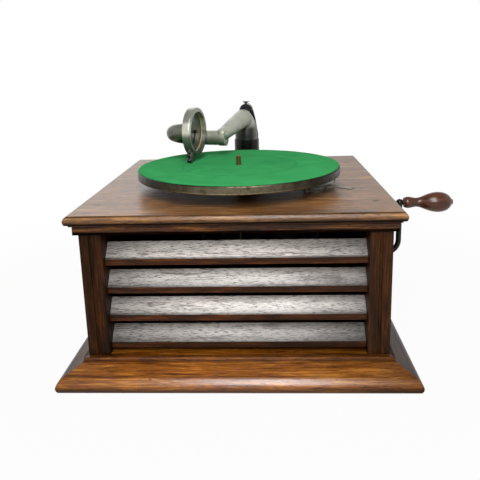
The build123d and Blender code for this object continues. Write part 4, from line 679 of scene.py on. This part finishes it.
class GramophoneSizes(bpy.types.PropertyGroup):
    """Sizes of the pieces that are modelled here."""
    felt_rings: bpy.props.IntProperty(
        name="Felt rings", description="Rings of faces on the felt", default=18, min=4)
    felt_pile: sized("Felt pile", "Unevenness of the felt's surface", 0.25)
    felt_tangle: sized("Felt tangle", "Size of the pile's soft lumps", 6.0)
    felt_edge: sized("Felt edge", "Rounding of the felt's cut edge", 0.45)
    felt_hole: sized("Felt hole", "Radius of the hole for the spindle", 5.0)
    slat_lean: bpy.props.FloatProperty(
        name="Slat lean", description="Slope of a louvre's face", default=math.radians(47.0),
        unit="ROTATION")
    slat_face: sized("Slat face", "Width of a louvre's face", 26.4)
    slat_thickness: sized("Slat thickness", "Thickness of a louvre", 6.0)
    slat_rounding: sized("Slat rounding", "Rounding of a louvre's edges", 0.5)
    pad_rounding: sized("Pad rounding", "Rounding of the leather pads", 0.4)
    thumb_flutes: bpy.props.IntProperty(
        name="Thumbscrew flutes", description="Flutes round the needle screw's head", default=14, min=6)
    thumb_flute_depth: sized("Flute depth", "Depth of the thumbscrew's flutes", 0.35)
    thumb_head: sized("Thumbscrew head", "Length of the thumbscrew's head", 2.6)
    thumb_stem: sized("Thumbscrew stem", "Radius of the thumbscrew's stem", 1.3)
    thumb_dish: sized("Thumbscrew dish", "Depth of the dish in the head's end", 0.4)
    tubing_width: sized("Tubing width", "Width of the diaphragm's rubber tubing", 4.5)
    washer_radius: sized("Washer radius", "Radius of a motor washer", 8.0)
    washer_hole: sized("Washer hole", "Radius of the hole in a motor washer", 3.1)
    washer_bulge: sized("Washer bulge", "How far a washer's side swells", 0.25)


class GramophoneColours(bpy.types.PropertyGroup):
    """Main colour of each finish that gives the gramophone its looks."""
    base_varnish: coloured("Base varnish", "Amber varnish on the base's front and back", "#A05C14")
    case_varnish: coloured("Case varnish", "Dark varnish on the posts and the panels", "#341B07")
    rail_varnish: coloured("Rail varnish", "Varnish on the rails under the top board", "#502C10")
    board_varnish: coloured("Board varnish", "Worn varnish on the top board", "#7C5228")
    # Its pale colour stands partly for a painted sheen
    louvre_face: coloured("Louvre face", "Rubbed wood on the louvres' faces", "#EAE2DB")
    knob_polish: coloured("Knob polish", "Polished wood of the crank's knob", "#4E2918")
    felt_dye: coloured("Felt dye", "Green of the turntable's felt", "#3DA45E")
    arm_lacquer: coloured("Arm lacquer", "Pewter grey lacquer on the tone arm", "#A3A598")
    box_nickel: coloured("Sound box nickel", "Bright plate on the sound box", "#C6C4B8")
    rim_nickel: coloured("Rim nickel", "Bright plate on the turntable's rim", "#B8AA88")
    black_japan: coloured("Black japan", "Stoved black on the arm's bracket and the crank", "#0A0B09")


class GramophoneLight(bpy.types.PropertyGroup):
    """Studio light and backdrop."""
    main_power: bpy.props.FloatProperty(
        name="Main light", description="Power in watts of the tall soft box in front", default=21.0)
    side_power: bpy.props.FloatProperty(
        name="Side light", description="Power in watts of the light at the side", default=2.0)
    back_power: bpy.props.FloatProperty(
        name="Back light", description="Power in watts of the light behind", default=4.0)
    sky: bpy.props.FloatProperty(
        name="Sky", description="Strength of the light from the studio's open top", default=0.5)
    near_glow: bpy.props.FloatProperty(
        name="Floor glow", description="Share of plain white in the floor nearby", default=0.95,
        subtype="FACTOR")
    room_radius: bpy.props.FloatProperty(
        name="Room radius", description="Radius of the round studio", default=6.0, unit="LENGTH")
    room_height: bpy.props.FloatProperty(
        name="Room height", description="Height of the studio's wall", default=6.0, unit="LENGTH")
    backdrop: bpy.props.FloatVectorProperty(
        name="Backdrop", description="Colour behind the object", subtype="COLOR", size=4,
        default=(1.0, 1.0, 1.0, 1.0))


# Operators

class GRAMOPHONE_OT_finishes(bpy.types.Operator):
    """Makes the materials and puts them on the CAD nodes"""
    bl_idname = "gramophone.finishes"
    bl_label = "Finishes"

    def execute(self, context):
        make_finishes(context.scene.gramophone_colours)
        for name, node in NODES.items():
            dress(node, DRESSED_AS[name])
        return {"FINISHED"}


class GRAMOPHONE_OT_felt(bpy.types.Operator):
    """Models the felt disc on the turntable, with a rounded cut edge and an uneven pile"""
    bl_idname = "gramophone.felt"
    bl_label = "Turntable felt"

    def execute(self, context):
        sizes = context.scene.gramophone_sizes
        nothing_selected()
        radius = (FELT_HIGH.x - FELT_LOW.x) / 2
        depth = FELT_HIGH.z - FELT_LOW.z
        centre = (FELT_LOW + FELT_HIGH) / 2
        bpy.ops.mesh.primitive_cylinder_add(vertices=160, radius=radius, depth=depth, location=centre,
                                            end_fill_type="NGON")
        disc = start("felt_disc")
        bpy.ops.object.transform_apply(location=True, rotation=False, scale=False)
        top = FELT_HIGH.z - MM / 10
        pick(disc, "EDGE", lambda edge: all(point.z > top for point in corners(disc, edge)))
        bpy.ops.mesh.bevel(offset=sizes.felt_edge, segments=3, affect="EDGES")
        step = (radius - sizes.felt_edge - sizes.felt_hole) / sizes.felt_rings
        # The two round ends are the only flat faces with many corners
        pick(disc, "FACE", lambda face: abs(face.normal.z) > FACING and len(face.vertices) > 8)
        for ring in range(sizes.felt_rings):
            bpy.ops.mesh.inset(thickness=step, depth=0, use_individual=True)
        bpy.ops.mesh.bridge_edge_loops()
        tidy(disc)
        pile = disc.modifiers.new("pile", "DISPLACE")
        tangle = bpy.data.textures.new("felt tangle", "CLOUDS")
        tangle.noise_scale = sizes.felt_tangle
        pile.texture = tangle
        pile.strength = sizes.felt_pile
        pile.mid_level = 1.0
        bpy.ops.object.modifier_apply(modifier=pile.name)
        seat(disc, "turntable", "green_felt", "green_felt", "felt_mat")
        return {"FINISHED"}


class GRAMOPHONE_OT_louvres(bpy.types.Operator):
    """Models one louvre slat with planed, slightly rounded edges and copies it to each place"""
    bl_idname = "gramophone.louvres"
    bl_label = "Louvre slats"

    def execute(self, context):
        sizes = context.scene.gramophone_sizes
        low, high = SLAT_BOXES[1]
        lean, thickness = sizes.slat_lean, sizes.slat_thickness
        blank = 2 * sizes.slat_face
        nothing_selected()
        bpy.ops.mesh.primitive_cube_add(size=1)
        slat = start("slat_1")
        edit_all()
        bpy.ops.transform.resize(value=(high.x - low.x, blank, thickness))
        bpy.ops.object.mode_set(mode="OBJECT")
        arris = low.z + thickness / math.cos(lean)
        along = Vector((0, math.cos(lean), math.sin(lean)))
        down = Vector((0, math.sin(lean), -math.cos(lean)))
        slat.rotation_euler.x = lean
        slat.location = (Vector((0, low.y, arris)) + along * (sizes.slat_face - blank / 2)
                         + down * thickness / 2)
        bpy.ops.object.transform_apply(location=True, rotation=True, scale=True)
        # The slat's lower edge is planed upright, in line with the front of its box
        edit_all()
        bpy.ops.mesh.bisect(plane_co=(0, low.y, arris), plane_no=(0, 1, 0), use_fill=True,
                            clear_inner=True, clear_outer=False)
        tidy(slat)
        bevel_modifier(slat, sizes.slat_rounding)
        for number, (place, _) in SLAT_BOXES.items():
            piece = slat if number == 1 else copied(context, slat, f"slat_{number}")
            piece.data.transform(Matrix.Translation((0, 0, place.z - low.z)))
            seat(piece, "cabinet", "slat_wood", "slat_wood", f"louvre_slat_{number}")
            piece.data.materials.append(FINISHES["slat_edge"])
            # The face looks forwards and up; every other side counts as an edge
            for side in piece.data.polygons:
                side.material_index = 0 if side.normal.y < -0.3 and side.normal.z > 0.35 else 1
        return {"FINISHED"}


class GRAMOPHONE_OT_pads(bpy.types.Operator):
    """Models the brake's and the regulator's leather pads"""
    bl_idname = "gramophone.pads"
    bl_label = "Leather pads"

    def execute(self, context):
        sizes = context.scene.gramophone_sizes
        for node, body in (("brake_pad", "brake"), ("regulator_pad", "regulator")):
            nothing_selected()
            copy = bpy.data.objects.new(f"{node}_leather", NODES[node].data.copy())
            context.scene.collection.objects.link(copy)
            copy.select_set(True)
            context.view_layer.objects.active = copy
            tidy(copy)
            edit_all()
            bpy.ops.mesh.dissolve_limited(angle_limit=math.radians(2))
            bpy.ops.object.mode_set(mode="OBJECT")
            bevel_modifier(copy, sizes.pad_rounding)
            seat(copy, body, "leather", "leather", node)
        return {"FINISHED"}


class GRAMOPHONE_OT_thumbscrew(bpy.types.Operator):
    """Models the needle's thumbscrew: a fluted, dished head on a turned stem"""
    bl_idname = "gramophone.thumbscrew"
    bl_label = "Needle thumbscrew"

    def execute(self, context):
        sizes = context.scene.gramophone_sizes
        pivot, axis = axis_of("needle_screw_turn")
        low, high, radius = span_along("needle_screw", pivot, axis)
        turn = axis.to_track_quat("Z", "Y").to_euler()
        nothing_selected()
        bpy.ops.mesh.primitive_cylinder_add(
            vertices=2 * sizes.thumb_flutes, radius=radius, depth=sizes.thumb_head,
            location=pivot + axis * (high - sizes.thumb_head / 2), rotation=turn, end_fill_type="NGON")
        screw = start("needle_thumbscrew")
        bpy.ops.object.transform_apply(location=True, rotation=True, scale=True)
        # Every second side of the head is sunk, and leaves a flute
        sides = [face.index for face in screw.data.polygons if abs(face.normal.dot(axis)) < 0.5]
        pick(screw, "FACE", lambda face: face.index in sides[::2])
        bpy.ops.mesh.inset(thickness=sizes.thumb_flute_depth / 2, depth=-sizes.thumb_flute_depth,
                           use_individual=True)
        pick(screw, "FACE", lambda face: face.normal.dot(axis) < -FACING)
        bpy.ops.mesh.inset(thickness=radius - sizes.thumb_stem, depth=0)
        bpy.ops.mesh.extrude_region_move(
            TRANSFORM_OT_translate={"value": axis * (low + sizes.thumb_head - high)})
        pick(screw, "FACE", lambda face: face.normal.dot(axis) > FACING)
        bpy.ops.mesh.inset(thickness=radius / 4, depth=0)
        bpy.ops.mesh.inset(thickness=radius / 6, depth=-sizes.thumb_dish)
        tidy(screw, 30)
        bevel_modifier(screw, sizes.thumb_flute_depth / 4)
        seat(screw, "thumbscrew", "nickel", "chuck_silver", "needle_screw")
        return {"FINISHED"}


class GRAMOPHONE_OT_rubbers(bpy.types.Operator):
    """Models the rubber tubing that holds the diaphragm, and the washers under the motor board"""
    bl_idname = "gramophone.rubbers"
    bl_label = "Rubber tubing and washers"

    def execute(self, context):
        self.tubing(context, context.scene.gramophone_sizes)
        self.washers(context, context.scene.gramophone_sizes)
        return {"FINISHED"}

    def tubing(self, context, sizes):
        """Two soft rings, one on each side of the diaphragm, squeezed between it and the box."""
        _, axis = axis_of("sound_box_lift")
        centre = middle_of("diaphragm")
        low, high, radius = span_along("diaphragm_gaskets", centre, axis)
        front, back, _ = span_along("diaphragm", centre, axis)
        rings = []
        for start_at, end_at in ((low, front), (back, high)):
            nothing_selected()
            bpy.ops.mesh.primitive_torus_add(
                location=centre + axis * (start_at + end_at) / 2,
                rotation=axis.to_track_quat("Z", "Y").to_euler(),
                major_radius=radius - sizes.tubing_width / 2, minor_radius=sizes.tubing_width / 2,
                major_segments=96, minor_segments=16)
            ring = start("diaphragm_tubing")
            ring.scale.z = (end_at - start_at) / sizes.tubing_width
            rings.append(tidy(ring, 60))
        for ring in rings:
            ring.select_set(True)
        context.view_layer.objects.active = rings[0]
        bpy.ops.object.join()
        seat(rings[0], "sound_box", "rubber", "tubing", "diaphragm_gaskets")

    def washers(self, context, sizes):
        """One washer with swollen sides, copied to each motor screw."""
        low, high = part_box("motor_washers")
        depth = high.z - low.z
        middle = low.z + depth / 2
        radius = sizes.washer_radius
        waist = radius - sizes.washer_bulge
        places = [(x, y) for x in (low.x + radius, high.x - radius)
                  for y in (low.y + radius, high.y - radius)]
        x, y = places[0]
        nothing_selected()
        bpy.ops.mesh.primitive_cylinder_add(vertices=48, radius=waist, depth=depth,
                                            location=(x, y, middle), end_fill_type="NGON")
        first = start("motor_washer_1")
        bpy.ops.object.transform_apply(location=True, rotation=False, scale=False)
        # The upright edges get rings of new points, and the middle rings swell
        pick(first, "EDGE", lambda edge: abs(corners(first, edge)[0].z - corners(first, edge)[1].z) > MM)
        bpy.ops.mesh.subdivide(number_cuts=3)
        pick(first, "VERT", lambda point: abs(point.co.z - middle) < depth / 3)
        bpy.ops.transform.resize(value=(radius / waist, radius / waist, 1), center_override=(x, y, middle))
        pick(first, "FACE", lambda face: abs(face.normal.z) > FACING)
        bpy.ops.mesh.inset(thickness=waist - sizes.washer_hole, depth=0, use_individual=True)
        bpy.ops.mesh.bridge_edge_loops()
        tidy(first, 50)
        seat(first, "cabinet", "rubber", "rubber", "motor_washers")
        for number, (to_x, to_y) in enumerate(places[1:], 2):
            washer = copied(context, first, f"motor_washer_{number}")
            washer.data.transform(Matrix.Translation((to_x - x, to_y - y, 0)))
            seat(washer, "cabinet", "rubber", "rubber", "motor_washers")


# The photograph's camera, fitted to the board's corners, the base and the turntable's ellipse: its
# place, its own axes, its focal length in picture widths, and how far the picture is shifted
CAMERA_PLACE = (0.044748, -0.894542, 0.413959)
CAMERA_RIGHT = Vector((0.9986, 0.0454, -0.02705))
CAMERA_DOWN = Vector((-0.01607, -0.22668, -0.97384))
CAMERA_AHEAD = Vector((-0.05034, 0.97291, -0.22563))
CAMERA_FOCUS = 568.059 / 480
CAMERA_SHIFT = -45 / 480
# Width, height and place of each lamp in metres, and the point that all of them face
LAMPS = {
    "main": (0.45, 1.3, (0.05, -1.1, 1.1)),
    "side": (1.2, 1.2, (1.9, -0.3, 1.0)),
    "back": (1.2, 1.2, (-0.8, 1.9, 1.2)),
}
LAMP_AIM = Vector((0, -0.04, 0.18))
# The floor takes a faint shadow up to the first distance, and is plain white from the second on
SHADOW_REACH = (0.4, 0.9)


class GRAMOPHONE_OT_stage(bpy.types.Operator):
    """Sets the floor, the lights and the camera at the photograph's angle"""
    bl_idname = "gramophone.stage"
    bl_label = "Stage"

    def execute(self, context):
        light = context.scene.gramophone_light
        self.sweep(light)
        self.sky(context, light)
        for side, (width, height, place) in LAMPS.items():
            bpy.ops.object.light_add(type="AREA", location=place)
            lamp = context.active_object
            lamp.name = f"{side} light"
            lamp.data.energy = getattr(light, f"{side}_power")
            lamp.data.shape = "RECTANGLE"
            lamp.data.size = width
            lamp.data.size_y = height
            lamp.rotation_euler = (LAMP_AIM - lamp.location).to_track_quat("-Z", "Y").to_euler()
        bpy.ops.object.camera_add(location=CAMERA_PLACE)
        camera = context.active_object
        axes = Matrix((CAMERA_RIGHT, -CAMERA_DOWN, -CAMERA_AHEAD)).transposed()
        camera.rotation_euler = axes.to_euler()
        camera.data.sensor_width = 36.0
        camera.data.lens = camera.data.sensor_width * CAMERA_FOCUS
        camera.data.shift_y = CAMERA_SHIFT
        camera.data.clip_end = 30.0
        context.scene.camera = camera
        context.scene.view_settings.view_transform = "Standard"
        return {"FINISHED"}

    def sweep(self, light):
        """A round floor that curves up into a wall, so that the same white is seen from every side."""
        nothing_selected()
        bpy.ops.mesh.primitive_circle_add(vertices=96, radius=light.room_radius, fill_type="NGON")
        floor = start("studio_sweep")
        pick(floor, "EDGE", lambda edge: True)
        bpy.ops.mesh.extrude_edges_move(TRANSFORM_OT_translate={"value": (0, 0, light.room_height)})
        pick(floor, "EDGE", lambda edge: max(point.z for point in corners(floor, edge)) < MM)
        bpy.ops.mesh.bevel(offset=light.room_radius / 3, segments=8, affect="EDGES")
        bpy.ops.object.mode_set(mode="OBJECT")
        bpy.ops.object.shade_smooth_by_angle(angle=math.radians(60))
        floor.data.materials.append(self.paper(light))

    def paper(self, light):
        """White paper: the eye, mirrors and glass see it glow, and near the object it takes a shadow."""
        material = bpy.data.materials.new("white backdrop paper")
        material.use_nodes = True
        tree = material.node_tree
        tree.nodes.clear()
        where = add_node(tree, "TexCoord", output="Object")
        reach = add_node(tree, "VectorMath", (where,), operation="LENGTH")
        share = add_node(tree, "MapRange", (reach, *SHADOW_REACH, light.near_glow, 1.0))
        seen = 0.0
        for ray in ("Is Camera Ray", "Is Glossy Ray", "Is Transmission Ray"):
            seen = add_node(tree, "Math", (seen, add_node(tree, "LightPath", output=ray)),
                            operation="MAXIMUM")
        share = add_node(tree, "Math", (seen, share), operation="MULTIPLY")
        plain = add_node(tree, "BsdfDiffuse", {"Color": paint("#C4C4C2")})
        glow = add_node(tree, "Emission", {"Color": tuple(light.backdrop), "Strength": 1.0})
        both = add_node(tree, "MixShader", (share, plain, glow))
        add_node(tree, "OutputMaterial", {"Surface": both})
        return material

    def sky(self, context, light):
        """Even light from the open top of the studio."""
        world = context.scene.world or bpy.data.worlds.new("studio")
        context.scene.world = world
        world.use_nodes = True
        tree = world.node_tree
        tree.nodes.clear()
        soft = add_node(tree, "Background", {"Color": paint("#F6F4F0"), "Strength": light.sky})
        add_node(tree, "OutputWorld", {"Surface": soft})


OPERATORS = (GRAMOPHONE_OT_finishes, GRAMOPHONE_OT_felt, GRAMOPHONE_OT_louvres, GRAMOPHONE_OT_pads,
             GRAMOPHONE_OT_thumbscrew, GRAMOPHONE_OT_rubbers, GRAMOPHONE_OT_stage)
SETTINGS = {
    "gramophone_sizes": GramophoneSizes,
    "gramophone_colours": GramophoneColours,
    "gramophone_light": GramophoneLight,
}


class GRAMOPHONE_PT_pieces(bpy.types.Panel):
    """Lists the steps that dress the gramophone and their settings"""
    bl_label = "Gramophone"
    bl_idname = "GRAMOPHONE_PT_pieces"
    bl_space_type = "VIEW_3D"
    bl_region_type = "UI"
    bl_category = "Gramophone"

    def draw(self, context):
        for operator in OPERATORS:
            self.layout.operator(operator.bl_idname)
        for name, group in SETTINGS.items():
            for key in group.__annotations__:
                self.layout.prop(getattr(context.scene, name), key)


CLASSES = (*SETTINGS.values(), *OPERATORS, GRAMOPHONE_PT_pieces)


def register():
    """Registers the classes and hangs the settings on the scene."""
    for item in CLASSES:
        bpy.utils.register_class(item)
    for name, group in SETTINGS.items():
        setattr(bpy.types.Scene, name, bpy.props.PointerProperty(type=group))


def unregister():
    """Takes the settings and the classes away again."""
    for name in SETTINGS:
        delattr(bpy.types.Scene, name)
    for item in reversed(CLASSES):
        bpy.utils.unregister_class(item)


def main():
    register()
    for operator in OPERATORS:
        group, name = operator.bl_idname.split(".")
        getattr(getattr(bpy.ops, group), name)()


if __name__ == "__main__":
    main()
